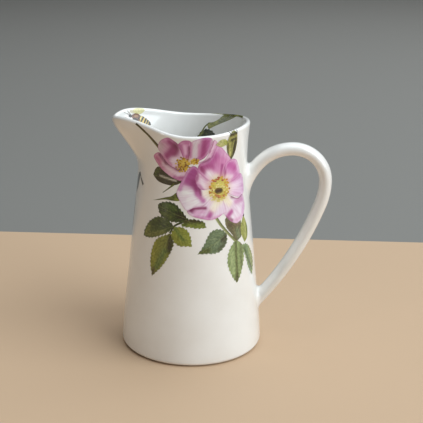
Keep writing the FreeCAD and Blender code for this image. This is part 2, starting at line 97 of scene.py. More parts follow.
def rim_rise(angle):
    towards_handle = np.cos(angle)
    rise = np.where(towards_handle > 0, HANDLE_RISE, SPOUT_RISE)
    from_tip = np.arctan2(-np.sin(angle), -towards_handle)
    return rise * towards_handle**2 - TIP_DIP * np.exp(-((from_tip / TIP_DIP_WIDTH) ** 2))


def wall_level(angle, row):
    level_below = 80.0
    share = max(0.0, (row - level_below) / (RIM_HEIGHT - WALL / 2 - level_below))
    return row + rim_rise(angle) * share**2


def skin(angle, z, depth):
    return outer_point(angle, z) - outer_normal(angle, z) * depth


# ---------------------------------------------------------------- meshes
def add_mesh(name, points, faces, normals=None):
    """A mesh object from points in millimetres, smooth, with given normals if there are any."""
    mesh = bpy.data.meshes.new(name)
    mesh.from_pydata([tuple(p) for p in np.asarray(points) * MM], [], faces)
    mesh.shade_smooth()
    if normals is not None:
        mesh.normals_split_custom_set_from_vertices([tuple(n) for n in normals])
    piece = bpy.data.objects.new(name, mesh)
    bpy.context.scene.collection.objects.link(piece)
    return piece


def finish_piece(piece, material, slot, *nodes):
    piece.data.materials.append(material)
    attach(piece, "root")
    if nodes:
        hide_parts(*nodes)
    return piece


def ring_faces(rings, around, close_start=False, close_end=False):
    """Quads between successive rings of points, and a face over either end."""
    faces = []
    for row in range(rings - 1):
        for i in range(around):
            j = (i + 1) % around
            low, high = row * around, (row + 1) * around
            faces.append((low + i, low + j, high + j, high + i))
    if close_start:
        faces.append(tuple(reversed(range(around))))
    if close_end:
        faces.append(tuple(range((rings - 1) * around, rings * around)))
    return faces


# ---------------------------------------------------------------- body
ANGLES = np.linspace(0, 2 * math.pi, AROUND, endpoint=False)


def flat_ring(radius, z):
    return np.stack([radius * np.cos(ANGLES), radius * np.sin(ANGLES), 0 * ANGLES + z], axis=-1)


def corner_rings(height, depth, radius, steps):
    """The quarter round that comes down from the wall to a level floor or foot."""
    zero = np.array([0.0])
    tilt = outer_normal(zero, np.array([height + radius]))[0][2]
    row = height + radius * (1 + tilt) + depth * tilt
    edge = skin(zero, np.array([row]), depth)[0]
    normal = outer_normal(zero, np.array([row]))[0]
    start = math.atan2(normal[2], normal[0])
    rings = []
    for i in range(1, steps + 1):
        turn = start - (math.pi / 2 + start) * i / steps
        r = edge[0] + radius * (math.cos(turn) - normal[0])
        rings.append(flat_ring(r, edge[2] + radius * (math.sin(turn) - normal[2])))
    return row, rings


def lip_ring(turn):
    """A ring of the half round lip, from the outer wall at 0 to the inner wall at half a turn."""
    radius = WALL / 2
    z = wall_level(ANGLES, RIM_HEIGHT - radius)
    normal = outer_normal(ANGLES, z)
    around = np.stack([-np.sin(ANGLES), np.cos(ANGLES), 0 * ANGLES], axis=-1)
    around = unit(around - normal * np.sum(around * normal, axis=-1, keepdims=True))
    up = np.cross(normal, around)
    middle = outer_point(ANGLES, z) - normal * radius
    return middle + (normal * math.cos(turn) + up * math.sin(turn)) * radius


def build_body(material):
    top = RIM_HEIGHT - WALL / 2
    foot_row, foot = corner_rings(FOOT_GAP, 0.0, CORNER_RADIUS, 10)
    floor_row, floor = corner_rings(FLOOR_TOP, WALL, INNER_CORNER, 10)
    level_rows = [*np.linspace(0, 96, 25), *np.linspace(98, 108, 6), *np.linspace(109, top, 22)]
    outside = [foot_row, *[row for row in level_rows if row > foot_row + 2]]
    inside = [floor_row, *[row for row in level_rows if row > floor_row + 2]]
    lip_steps = 14
    rings = [
        flat_ring(2.0, RECESS_TOP),
        flat_ring(RING_INNER - 0.3, RECESS_TOP),
        flat_ring(RING_INNER, RECESS_TOP - 0.3),
        flat_ring(RING_INNER, RING_HEIGHT),
        flat_ring(RING_OUTER, RING_HEIGHT),
        flat_ring(RING_OUTER, FOOT_GAP),
        *reversed(foot),
    ]
    rings += [skin(ANGLES, wall_level(ANGLES, row), 0.0) for row in outside]
    rings += [lip_ring(math.pi * i / lip_steps) for i in range(1, lip_steps)]
    rings += [skin(ANGLES, wall_level(ANGLES, row), WALL) for row in reversed(inside)]
    rings += floor + [flat_ring(r, FLOOR_TOP) for r in (24.0, 14.0, 2.0)]
    faces = ring_faces(len(rings), AROUND, close_start=True, close_end=True)
    piece = add_mesh("porcelain_body", np.concatenate(rings), faces)
    underside_rows = 6
    for polygon in piece.data.polygons[: underside_rows * AROUND]:
        polygon.use_smooth = False
    return finish_piece(piece, material, "glazed_porcelain", "body")


# ---------------------------------------------------------------- handle with its slip fillets
ARCH_X, ARCH_Z = 56.4, 116.9
ROOT_LENGTH = 14.0
HANDLE_ARCS = ((25.2, 50.0), (18.8, 90.0), (40.0, 19.5), (190.0, 22.6))   # radius, turn in degrees
HANDLE_THICK, HANDLE_WIDTH = 7.3, 10.4
# under and over spread of each fillet: on the wall, then along the handle
UPPER_LEGS = ((10.0, 13.0), (4.2, 5.0))
LOWER_LEGS = ((4.8, 5.0), (2.2, 2.6))
HANDLE_AROUND = 72
TURNS = np.linspace(0, 2 * math.pi, HANDLE_AROUND, endpoint=False)


def heading_of(degrees):
    """The unit vector of the XZ plane that rises by that many degrees."""
    return np.array([math.cos(math.radians(degrees)), 0.0, math.sin(math.radians(degrees))])


def left_of(heading):
    return np.array([-heading[2], 0.0, heading[0]])


def handle_frame(distance):
    """Centre and heading of the handle's centre line, straight on beyond its ends."""
    rise = HANDLE_ARCS[0][1]
    heading = heading_of(rise)
    point = np.array([ARCH_X, 0.0, ARCH_Z - HANDLE_ARCS[0][0]]) + left_of(heading) * HANDLE_ARCS[0][0]
    left = distance - ROOT_LENGTH
    if left <= 0:
        return point + heading * left, heading
    for radius, turn in HANDLE_ARCS:
        length = radius * math.radians(turn)
        inside = min(left, length)
        new_heading = heading_of(rise - math.degrees(inside / radius))
        point = point + (left_of(new_heading) - left_of(heading)) * radius
        heading, rise, left = new_heading, rise - turn, left - inside
        if left <= 0:
            break
    return point + heading * left, heading


HANDLE_LENGTH = ROOT_LENGTH + sum(radius * math.radians(turn) for radius, turn in HANDLE_ARCS)


def handle_point(distance, turn):
    """A point of the handle's skin: turn is 0 outside and half a turn at the finger gap."""
    centre, heading = handle_frame(distance)
    across = left_of(heading) * (HANDLE_THICK / 2 * math.cos(turn))
    return centre + across + np.array([0.0, HANDLE_WIDTH / 2 * math.sin(turn), 0.0])


def wall_crossing(turn, buried, clear):
    """Where a line along the handle's skin passes through the wall, by halving."""
    for _ in range(30):
        middle = (buried + clear) / 2
        point = handle_point(middle, turn)
        if math.hypot(point[0], point[1]) < round_radius(point[2]):
            buried = middle
        else:
            clear = middle
    return clear


def fillet_rings(legs, buried, clear, steps):
    """Rings of one fillet, from the wall to the handle, and where each line joins the handle."""
    forward = math.copysign(1, clear - buried)
    (under_wall, under_handle), (over_wall, over_handle) = legs
    centre = handle_point(wall_crossing(math.pi / 2, buried, clear), math.pi / 2)
    rings = [[] for _ in range(steps + 1)]
    joins = []
    for turn in TURNS:
        share = (1 - math.cos(turn)) / 2
        crossing = wall_crossing(turn, buried, clear)
        root = handle_point(crossing, turn)
        arc = math.atan2(root[1], root[0]) * round_radius(root[2])
        reach = math.hypot(arc, root[2] - centre[2])
        stretch = (reach + over_wall + (under_wall - over_wall) * share) / reach
        z = centre[2] + (root[2] - centre[2]) * stretch
        radius = round_radius(z)
        angle = arc * stretch / radius
        sunk = 0.04
        wall_end = np.array([math.cos(angle) * (radius - sunk), math.sin(angle) * (radius - sunk), z])
        joins.append(crossing + forward * (over_handle + (under_handle - over_handle) * share))
        handle_end = handle_point(joins[-1], turn)
        for i, ring in enumerate(rings):
            t = i / steps
            ring.append(wall_end * (1 - t) ** 2 + root * 2 * t * (1 - t) + handle_end * t**2)
    return [np.array(ring) for ring in rings], joins


def build_handle(material):
    """The handle and its two fillets: one continuous surface, kept as three pieces."""
    steps, spans = 16, 120
    upper, upper_joins = fillet_rings(UPPER_LEGS, -4.0, 20.0, steps)
    lower, lower_joins = fillet_rings(LOWER_LEGS, HANDLE_LENGTH + 5.0, HANDLE_LENGTH - 27.0, steps)
    middle = []
    for k in range(1, spans):
        share = k / spans
        stations = [a + (b - a) * share for a, b in zip(upper_joins, lower_joins)]
        middle.append(np.array([handle_point(s, t) for s, t in zip(stations, TURNS)]))
    rings = upper + middle + lower[::-1]
    whole = add_mesh("whole", np.concatenate(rings), ring_faces(len(rings), HANDLE_AROUND))
    normals = np.array([tuple(n.vector) for n in whole.data.vertex_normals])
    bpy.data.objects.remove(whole)
    cuts = (
        ("upper_slip_fillet", 0, steps, "handle_upper_joint"),
        ("cast_handle", steps, steps + spans, "handle"),
        ("lower_slip_fillet", steps + spans, len(rings) - 1, "handle_lower_joint"),
    )
    for name, first, last, node in cuts:
        part = slice(first * HANDLE_AROUND, (last + 1) * HANDLE_AROUND)
        faces = ring_faces(last - first + 1, HANDLE_AROUND)
        piece = add_mesh(name, np.concatenate(rings)[part], faces, normals[part])
        finish_piece(piece, material, "glazed_porcelain", node)


# ---------------------------------------------------------------- materials
def linear(colours):
    """Linear colours from 0 to 255 screen values."""
    share = np.clip(np.asarray(colours, dtype=float) / 255, 0, 1)
    return np.where(share <= 0.04045, share / 12.92, ((share + 0.055) / 1.055) ** 2.4)


def srgb(red, green, blue):
    return tuple(float(part) for part in linear((red, green, blue)))


class Nodes:
    """A short way to build a node material: each call adds a node and returns it."""

    def __init__(self, name):
        self.material = bpy.data.materials.new(name)
        self.material.use_nodes = True
        self.tree = self.material.node_tree
        self.shader = self.tree.nodes["Principled BSDF"]

    def add(self, kind, **settings):
        node = self.tree.nodes.new(kind)
        for key, value in settings.items():
            if hasattr(node, key):
                setattr(node, key, value)
            else:
                node.inputs[key.replace("_", " ")].default_value = value
        return node

    def link(self, output, target):
        self.tree.links.new(output, target)
        return target.node

    def math(self, operation, first, second):
        node = self.add("ShaderNodeMath", operation=operation)
        for socket, value in zip(node.inputs, (first, second)):
            if isinstance(value, (int, float)):
                socket.default_value = value
            else:
                self.link(value, socket)
        return node.outputs[0]

    def noise(self, vector, scale, detail=3.0):
        node = self.add("ShaderNodeTexNoise", Scale=scale, Detail=detail)
        self.link(vector, node.inputs["Vector"])
        return node.outputs["Fac"]

    def span(self, value, low, high, to_low=0.0, to_high=1.0):
        """Maps low..high of a value to to_low..to_high, held at the ends."""
        node = self.add("ShaderNodeMapRange")
        self.link(value, node.inputs["Value"])
        sockets = ("From Min", "From Max", "To Min", "To Max")
        for key, number in zip(sockets, (low, high, to_low, to_high)):
            node.inputs[key].default_value = number
        return node.outputs["Result"]

    def mix(self, factor, first, second, blend="MIX"):
        node = self.add("ShaderNodeMix", data_type="RGBA", blend_type=blend)
        for index, value in ((0, factor), (6, first), (7, second)):
            if isinstance(value, (int, float)):
                node.inputs[index].default_value = value
            elif isinstance(value, tuple):
                node.inputs[index].default_value = (*value, 1.0)
            else:
                self.link(value, node.inputs[index])
        return node.outputs[2]

    def bump(self, height, distance, strength=1.0):
        node = self.add("ShaderNodeBump", Strength=strength, Distance=distance)
        self.link(height, node.inputs["Height"])
        self.link(node.outputs[0], self.shader.inputs["Normal"])

    def gloss(self, roughness, coat=0.0):
        self.shader.inputs["Roughness"].default_value = roughness
        self.shader.inputs["Coat Weight"].default_value = coat
        self.shader.inputs["Coat Roughness"].default_value = 0.06


def porcelain_material():
    """White porcelain under a clear glaze that is a little uneven."""
    nodes = Nodes("glazed_porcelain")
    place = nodes.add("ShaderNodeTexCoord").outputs["Object"]
    cloud = nodes.noise(place, 45.0)
    speck = nodes.noise(place, 900.0, 2.0)
    tone = nodes.mix(nodes.span(cloud, 0.35, 0.65), srgb(236, 234, 230), srgb(241, 240, 237))
    tone = nodes.mix(nodes.span(speck, 0.76, 0.82, 0.0, 0.25), tone, srgb(190, 180, 165))
    nodes.link(tone, nodes.shader.inputs["Base Color"])
    nodes.link(nodes.span(cloud, 0.3, 0.7, 0.16, 0.24), nodes.shader.inputs["Roughness"])
    nodes.shader.inputs["Coat Weight"].default_value = 0.6
    nodes.shader.inputs["Coat Roughness"].default_value = 0.05
    nodes.bump(nodes.noise(place, 160.0, 2.0), 0.00006, 0.5)
    return nodes.material


def bare_clay_material():
    """The foot ring: unglazed, sanded, with a faint grain and grey from the table."""
    nodes = Nodes("bare_clay")
    place = nodes.add("ShaderNodeTexCoord").outputs["Object"]
    grain = nodes.noise(place, 1400.0)
    wear = nodes.noise(place, 120.0)
    tone = nodes.mix(nodes.span(grain, 0.3, 0.7), srgb(214, 205, 190), srgb(231, 224, 212))
    tone = nodes.mix(nodes.span(wear, 0.5, 0.75, 0.0, 0.4), tone, srgb(176, 166, 152))
    nodes.link(tone, nodes.shader.inputs["Base Color"])
    nodes.gloss(0.85)
    nodes.bump(grain, 0.00005, 0.6)
    return nodes.material


# ---------------------------------------------------------------- prints: how they are made
# A print is drawn on the unrolled wall: millimetres round from the front, and height up the skin.
PRINT_RADIUS = 33.0
LIP = WALL / 2
LIFT, LAYER = 0.03, 0.010
SPACING, FINE_SPACING = 0.6, 0.4
TOOTH_PITCH = 2.3


def on_skin(drawn, lift, inside=False):
    """Points and normals on the outer or the inner wall, and on over the lip from either side."""
    angle = drawn[:, 0] / PRINT_RADIUS - math.pi / 2
    height = drawn[:, 1]
    top = wall_level(angle, RIM_HEIGHT - LIP)
    z = np.minimum(height, top)
    turn = np.maximum(0.0, height - top)[:, None] / LIP
    if inside:
        turn = math.pi - turn
    wall_normal = outer_normal(angle, z)
    around = np.stack([-np.sin(angle), np.cos(angle), 0 * angle], axis=-1)
    around = unit(around - wall_normal * np.sum(around * wall_normal, axis=-1, keepdims=True))
    normal = wall_normal * np.cos(turn) + np.cross(wall_normal, around) * np.sin(turn)
    return outer_point(angle, z) - wall_normal * LIP + normal * (LIP + lift), normal


def smooth(points, closed=True, step=0.45):
    """A Catmull-Rom curve through given points, as points about a step apart."""
    knots = [np.array(p, dtype=float) for p in points]
    count = len(knots)
    spans = count if closed else count - 1
    curve = []
    for i in range(spans):
        if closed:
            a, b, c, d = (knots[(i + k) % count] for k in (-1, 0, 1, 2))
        else:
            b, c = knots[i], knots[i + 1]
            a = knots[i - 1] if i else 2 * b - c
            d = knots[i + 2] if i + 2 < count else 2 * c - b
        pieces = max(2, int(np.linalg.norm(c - b) / step))
        for k in range(pieces):
            t = k / pieces
            square = 2 * a - 5 * b + 4 * c - d
            cube = 3 * b - a - 3 * c + d
            curve.append((2 * b + (c - a) * t + square * t**2 + cube * t**3) / 2)
    if not closed:
        curve.append(knots[-1])
    return np.array(curve)


def toothed(curve, depth, pitch):
    """A curve with leaf teeth on its left side that point the way it runs."""
    steps = np.linalg.norm(np.diff(curve, axis=0), axis=1)
    along = np.concatenate([[0.0], np.cumsum(steps)])
    count = max(3, int(along[-1] / 0.3))
    places = np.linspace(0, along[-1], count)
    curve = np.stack([np.interp(places, along, curve[:, k]) for k in (0, 1)], axis=-1)
    run = unit(np.gradient(curve, axis=0))
    left = np.stack([-run[:, 1], run[:, 0]], axis=-1)
    fade = np.minimum(1.0, np.minimum(places, along[-1] - places) / pitch)
    return curve + left * ((places / pitch % 1.0) ** 1.6 * depth * fade)[:, None]


def inside_outline(points, outline):
    """Which points are inside a closed outline, by counting the edges to their right."""
    x, y = points[:, 0:1], points[:, 1:2]
    x1, y1 = outline[:, 0], outline[:, 1]
    x2, y2 = np.roll(x1, -1), np.roll(y1, -1)
    crosses = (y1 > y) != (y2 > y)
    level = np.where(y2 == y1, 1.0, y2 - y1)
    return (crosses & (x < x1 + (y - y1) * (x2 - x1) / level)).sum(axis=1) % 2 == 1


def edge_distance(points, outline):
    return np.sqrt(((points[:, None, :] - outline[None, :, :]) ** 2).sum(axis=2)).min(axis=1)


def stroke_distance(points, start, end):
    start, run = np.array(start), np.array(end) - np.array(start)
    share = ((points - start) @ run) / max(run @ run, 1e-9)
    nearest = start + np.clip(share, 0, 1)[:, None] * run
    return np.linalg.norm(points - nearest, axis=1)


def painted(points, ground, strokes):
    """Soft brush strokes over a ground colour: (start, end, radius, colour, strength)."""
    colours = np.tile(np.array(ground, dtype=float), (len(points), 1))
    for start, end, radius, colour, strength in strokes:
        weight = strength * np.exp(-((stroke_distance(points, start, end) / radius) ** 2.5))
        colours += (np.array(colour) - colours) * weight[:, None]
    return colours


def add_paint(mesh, colours):
    """Linear colours with opacity, one for each point of the mesh."""
    paint = mesh.color_attributes.new("paint", "FLOAT_COLOR", "POINT")
    paint.data.foreach_set("color", np.array(colours, dtype=np.float32).ravel())


def flat_mesh(outline, spacing):
    """The outline filled with triangles of about even size."""
    low, high = outline.min(axis=0), outline.max(axis=0)
    xs, ys = (np.arange(low[k] + spacing / 2, high[k], spacing) for k in (0, 1))
    grid = np.array([(x + (j % 2) * spacing / 2, y) for j, y in enumerate(ys) for x in xs])
    if len(grid):
        grid = grid[inside_outline(grid, outline)]
        grid = grid[edge_distance(grid, outline) > spacing * 0.4] if len(grid) else grid
    points = [Vector(p) for p in outline] + [Vector(p) for p in grid]
    edges = [(i, (i + 1) % len(outline)) for i in range(len(outline))]
    verts, _, faces, _, _, _ = delaunay_2d_cdt(points, edges, [], 1, 1e-5)
    return np.array([tuple(v) for v in verts]), [tuple(face) for face in faces]


def add_print(
    name, outline, layer, colours_at, uv_at, material, slot, nodes, inside=False, spacing=SPACING,
):
    """A sheet on the skin, with paint at its points and the drawing's own coordinates as its UVs."""
    drawn, faces = flat_mesh(np.asarray(outline), spacing)
    points, normals = on_skin(drawn, LIFT + LAYER * layer, inside)
    if inside:
        faces = [tuple(reversed(face)) for face in faces]
    piece = add_mesh(name, points, faces, normals)
    mesh = piece.data
    add_paint(mesh, np.concatenate([linear(colours_at(drawn)), np.ones((len(drawn), 1))], axis=1))
    uv = uv_at(drawn)
    layer_data = mesh.uv_layers.new(name="drawing")
    for loop in mesh.loops:
        layer_data.data[loop.index].uv = uv[loop.vertex_index]
    return finish_piece(piece, material, slot, *nodes)


# ---------------------------------------------------------------- print materials
def print_base(name):
    nodes = Nodes(name)
    paint = nodes.add("ShaderNodeAttribute", attribute_name="paint").outputs["Color"]
    drawing = nodes.add("ShaderNodeUVMap", uv_map="drawing").outputs["UV"]
    place = nodes.add("ShaderNodeTexCoord").outputs["Object"]
    nodes.gloss(0.2, 0.6)
    return nodes, paint, drawing, place


def stretched(nodes, vector, x, y):
    node = nodes.add("ShaderNodeMapping")
    node.inputs["Scale"].default_value = (x, y, 1.0)
    nodes.link(vector, node.inputs["Vector"])
    return node.outputs["Vector"]


def petal_material():
    """Washes of rose colour with fine veins that run out from the petal's foot."""
    nodes, paint, drawing, place = print_base("petal_print")
    veins = nodes.noise(stretched(nodes, drawing, 0.07, 16.0), 1.0, 2.0)
    broad = nodes.noise(stretched(nodes, drawing, 0.10, 4.0), 1.0, 2.0)
    wash = nodes.noise(place, 240.0, 2.0)
    tone = nodes.mix(nodes.span(veins, 0.42, 0.72, 0.0, 0.28), paint, srgb(198, 112, 172), "MULTIPLY")
    tone = nodes.mix(nodes.span(broad, 0.48, 0.75, 0.0, 0.22), tone, srgb(204, 130, 180), "MULTIPLY")
    tone = nodes.mix(nodes.span(wash, 0.45, 0.75, 0.0, 0.12), tone, srgb(222, 160, 204), "MULTIPLY")
    nodes.link(tone, nodes.shader.inputs["Base Color"])
    return nodes.material


def leaf_material():
    """Blades with a pale midrib, soft slanting side veins and a mottled wash between them."""
    nodes, paint, drawing, place = print_base("leaf_print")
    split = nodes.add("ShaderNodeSeparateXYZ")
    nodes.link(drawing, split.inputs[0])
    along, across = split.outputs[0], nodes.math("ABSOLUTE", split.outputs[1], 0.0)
    slant = nodes.math("SUBTRACT", along, nodes.math("MULTIPLY", across, 0.85))
    join = nodes.add("ShaderNodeCombineXYZ")
    nodes.link(slant, join.inputs[0])
    nodes.link(across, join.inputs[1])
    nodes.link(split.outputs[1], join.inputs[2])
    streaks = nodes.noise(stretched(nodes, join.outputs[0], 0.9, 0.12), 1.0, 3.0)
    waver = nodes.math("MULTIPLY", nodes.noise(place, 200.0, 1.0), 3.0)
    phase = nodes.math("FRACT", nodes.math("DIVIDE", nodes.math("ADD", slant, waver), 2.5), 0.0)
    ridge = nodes.math("ABSOLUTE", nodes.math("SUBTRACT", phase, 0.5), 0.0)
    tone = nodes.mix(nodes.span(streaks, 0.42, 0.66, 0.0, 0.5), paint, srgb(110, 128, 84), "MULTIPLY")
    tone = nodes.mix(nodes.span(streaks, 0.46, 0.30, 0.0, 0.18), tone, srgb(176, 184, 104))
    tone = nodes.mix(nodes.span(ridge, 0.0, 0.09, 0.10, 0.0), tone, srgb(170, 180, 112))
    tone = nodes.mix(nodes.span(across, 0.06, 0.22, 0.28, 0.0), tone, srgb(160, 166, 96))
    mottle = nodes.noise(place, 620.0, 3.0)
    tone = nodes.mix(nodes.span(mottle, 0.44, 0.74, 0.0, 0.4), tone, srgb(160, 172, 132), "MULTIPLY")
    nodes.link(tone, nodes.shader.inputs["Base Color"])
    return nodes.material


def mark_material():
    """Stems, stamens and other small marks: painted colour with a slight grain."""
    nodes, paint, _, place = print_base("mark_print")
    grain = nodes.noise(place, 1200.0)
    tone = nodes.mix(nodes.span(grain, 0.4, 0.7, 0.0, 0.3), paint, srgb(170, 160, 130), "MULTIPLY")
    nodes.link(tone, nodes.shader.inputs["Base Color"])
    return nodes.material


# ---------------------------------------------------------------- print colours
# Screen values from 0 to 255.
MAGENTA = (158, 58, 122)
DEEP = (112, 30, 74)
PINK = (210, 132, 184)
BLUSH = (232, 190, 218)
PALE = (240, 224, 238)
WHITE = (242, 240, 238)
YELLOW = (220, 206, 110)
GOLD = ((206, 168, 52), (178, 134, 34), (222, 190, 84), (142, 96, 30))
LIME = (164, 172, 72)
OLIVE = (138, 140, 44)
DARK_LEAF = (44, 66, 22)
BLACK_LEAF = (18, 20, 6)
MID_LEAF = (84, 112, 44)
SAGE = (122, 140, 108)
PALE_SAGE = (172, 188, 136)
UMBER = (86, 70, 48)
EYE = (60, 42, 20)


# ---------------------------------------------------------------- roses
def add_petal(name, layer, foot, glow, outline, ground, strokes, node):
    """One petal. foot is where it meets the flower's middle, and its veins fan out from there.
    glow is how far the middle's yellow reaches."""
    curve = smooth(outline)
    foot = np.array(foot)

    def colours(points):
        tone = painted(points, ground, strokes)
        near = edge_distance(points, curve)[:, None]
        tone += (np.array(PINK) * 0.9 - tone) * 0.45 * np.exp(-((near / 0.3) ** 2))
        tone += (np.array(PALE) - tone) * 0.35 * np.exp(-(((near - 0.85) / 0.4) ** 2))
        reach = np.linalg.norm(points - foot, axis=1)[:, None] / glow
        return tone + (np.array(YELLOW) - tone) * 0.9 * np.exp(-(reach**3))

    def uv(points):
        offset = points - foot
        middle = curve.mean(axis=0) - foot
        turn = math.atan2(middle[1], middle[0])
        angles = np.arctan2(offset[:, 1], offset[:, 0]) - turn
        angles = np.arctan2(np.sin(angles), np.cos(angles))
        return np.stack([np.linalg.norm(offset, axis=1), angles], axis=-1)

    add_print(name, curve, layer, colours, uv, PETALS, "rose_print", (node,))


def add_stamens(name, layer, centre, rings, squash, node, seed):
    """Rings of anthers on thin filaments. Each ring is (radius, count, anther size, colours)."""
    rng = random.Random(seed)
    outlines = []
    for radius, count, size, colours in rings:
        for i in range(count):
            turn = 2 * math.pi * (i + rng.uniform(-0.35, 0.35)) / count
            reach = radius * rng.uniform(0.86, 1.14)
            x = centre[0] + reach * math.cos(turn)
            y = centre[1] + reach * squash * math.sin(turn)
            tip = np.array([x, y])
            root = np.array(centre) + (tip - np.array(centre)) * rng.uniform(0.35, 0.6)
            outlines.append((thin_line(root, tip, 0.16, 0.12), (206, 190, 110), 0))
            blob = [
                tip + size * np.array([math.cos(a) * 0.62, math.sin(a) * 0.45])
                for a in np.linspace(0, 2 * math.pi, 8, endpoint=False)
            ]
            outlines.append((np.array(blob), rng.choice(colours), 1))
    add_marks(name, layer, outlines, "rose_print", (node,))


def thin_line(start, end, first_width, last_width):
    """The outline of a straight tapering line."""
    start, end = np.array(start, dtype=float), np.array(end, dtype=float)
    run = end - start
    side = np.array([-run[1], run[0]]) / max(np.linalg.norm(run), 1e-9) / 2
    first, last = side * first_width, side * last_width
    return np.array([start - first, end - last, end + last, start + first])


def add_marks(name, layer, outlines, slot, nodes, inside=False):
    """Many small flat marks as one piece: (outline, colour, layer above the first)."""
    points, normals, faces, colours = [], [], [], []
    for outline, colour, above in outlines:
        first = len(points)
        drawn, corners = flat_mesh(np.asarray(outline), SPACING)
        where, normal = on_skin(drawn, LIFT + LAYER * (layer + above), inside)
        points.extend(where)
        normals.extend(normal)
        for face in corners:
            face = tuple(first + corner for corner in face)
            faces.append(tuple(reversed(face)) if inside else face)
        colours.extend([(*linear(colour), 1.0)] * len(drawn))
    piece = add_mesh(name, points, faces, normals)
    add_paint(piece.data, colours)
    piece.data.uv_layers.new(name="drawing")
    finish_piece(piece, MARKS, slot, *nodes)


def build_left_rose():
    node = "left_rose_transfer"
    foot = (-2.0, 114.5)
    add_petal("left_rose_petal_low", 2, foot, 3.2, [
        (-4.0, 112.4), (-9.5, 112.6), (-14.5, 115.6), (-18.2, 119.4), (-21.0, 119.2), (-23.3, 116.6),
        (-19.5, 112.3), (-15.0, 109.2), (-9.0, 106.3), (-4.5, 105.6), (-1.0, 108.0),
    ], (216, 158, 186), [
        ((-22.5, 117), (-17, 111.5), 2.2, (196, 104, 146), 0.8),
        ((-16, 113.5), (-8, 109), 1.8, (232, 208, 220), 0.9),
        ((-18.6, 118.8), (-14.2, 115), 1.2, DEEP, 0.95),
        ((-14.4, 115), (-6, 111.4), 1.2, (90, 16, 48), 0.95),
        ((-9, 106.8), (-1, 107.2), 1.4, MAGENTA, 0.8), ((-7, 109), (-4, 109.4), 1.6, PALE, 0.8),
    ], node)
    add_petal("left_rose_petal_left", 4, foot, 3.2, [
        (-3.0, 113.0), (-8.5, 112.2), (-13.2, 114.4), (-17.2, 118.6), (-19.8, 122.2), (-18.0, 126.2),
        (-13.2, 128.6), (-9.6, 127.4), (-6.8, 125.4), (-4.6, 120.8),
    ], (220, 176, 204), [
        ((-12, 127), (-7.5, 125.2), 2.6, MAGENTA, 0.9), ((-8, 124), (-9.5, 121), 2.6, DEEP, 0.9),
        ((-10, 121.6), (-13.6, 118.6), 2.2, MAGENTA, 0.95),
        ((-18.4, 122), (-16.6, 126), 2.4, (214, 190, 200), 0.9),
        ((-14, 127.6), (-16, 126.6), 1.6, PINK, 0.8),
        ((-9.6, 116), (-5.5, 116.6), 2.4, (236, 222, 232), 0.95),
        ((-16.4, 118), (-11, 113.8), 0.7, (186, 92, 140), 0.7),
    ], node)
    add_petal("left_rose_petal_top", 5, foot, 3.2, [
        (-2.0, 114.5), (-4.4, 119.5), (-5.6, 122.4), (-6.9, 125.2), (-4.6, 127.3), (-2.2, 127.9),
        (0.4, 127.2), (0.7, 124.0), (-0.2, 120.0), (-0.8, 117.0),
    ], (206, 142, 184), [
        ((-0.1, 124), (-0.6, 118), 1.0, (104, 24, 66), 0.95),
        ((-6.4, 125), (-4.4, 120), 1.4, MAGENTA, 0.9),
        ((-4, 127.2), (0, 126.8), 1.0, (178, 84, 140), 0.8),
        ((-3.0, 124.5), (-2.6, 120.5), 1.0, BLUSH, 0.85), ((-1.4, 119), (-1.4, 116), 1.0, MAGENTA, 0.8),
    ], node)
    add_petal("left_rose_petal_right", 6, foot, 3.2, [
        (-1.0, 114.8), (-0.4, 118.0), (0.0, 122.5), (0.4, 126.6), (4.6, 128.6), (9.6, 129.4),
        (12.6, 128.2), (12.0, 124.2), (10.6, 120.8), (8.0, 118.0), (4.0, 116.2),
    ], (222, 200, 216), [
        ((8.8, 128.2), (7.4, 119.4), 2.9, MAGENTA, 0.95),
        ((10.4, 127.6), (10.6, 124), 1.6, (186, 96, 160), 0.7),
        ((3.2, 126.5), (2.6, 119.5), 2.2, (216, 206, 212), 0.9),
        ((0.6, 126), (0.2, 119), 0.9, (170, 72, 128), 0.8),
        ((5.0, 125.5), (5.2, 119), 0.9, (196, 120, 166), 0.6),
        ((7, 118.4), (3, 116.6), 1.1, MAGENTA, 0.6),
    ], node)
    add_petal("left_rose_petal_far_right", 7, foot, 2.2, [
        (4.0, 115.4), (8.0, 117.0), (10.2, 119.6), (12.0, 123.6), (13.4, 127.8), (15.4, 126.6),
        (15.6, 123.6), (13.8, 119.8), (10.4, 116.6), (6.4, 114.7),
    ], (238, 208, 228), [
        ((13.2, 127), (11.2, 121), 0.6, (176, 82, 142), 0.85),
        ((15.4, 125.5), (12.5, 119), 0.7, PINK, 0.8), ((11.4, 117.4), (6.5, 115), 0.9, DEEP, 0.85),
        ((9, 118.6), (6, 116.6), 0.9, PALE, 0.8),
    ], node)
    add_heart("left_rose_heart", 8, (-3.8, 114.3), 6.4, 6.0, (196, 158, 52), [
        ((-1.4, 114.2), (0.2, 114.4), 1.1, (70, 34, 12), 0.95),
        ((-5.4, 111.8), (-3.2, 111.6), 1.0, (112, 62, 18), 0.9),
        ((-4.6, 115.4), (-3, 115.8), 1.2, (226, 200, 92), 0.9),
    ], node)
    add_heart("left_rose_far_heart", 8, (2.8, 116.3), 4.2, 2.6, (208, 180, 76), [], node)
    add_stamens("left_rose_stamens", 9, (-4.0, 114.5), [
        (1.6, 9, 1.1, GOLD), (2.9, 15, 1.15, GOLD), (3.9, 16, 1.0, GOLD),
    ], 1.0, node, 11)
    add_stamens(
        "left_rose_far_stamens", 9, (2.8, 116.3), [(1.0, 7, 0.95, GOLD), (2.1, 11, 0.95, GOLD)], 0.75,
        node, 12,
    )


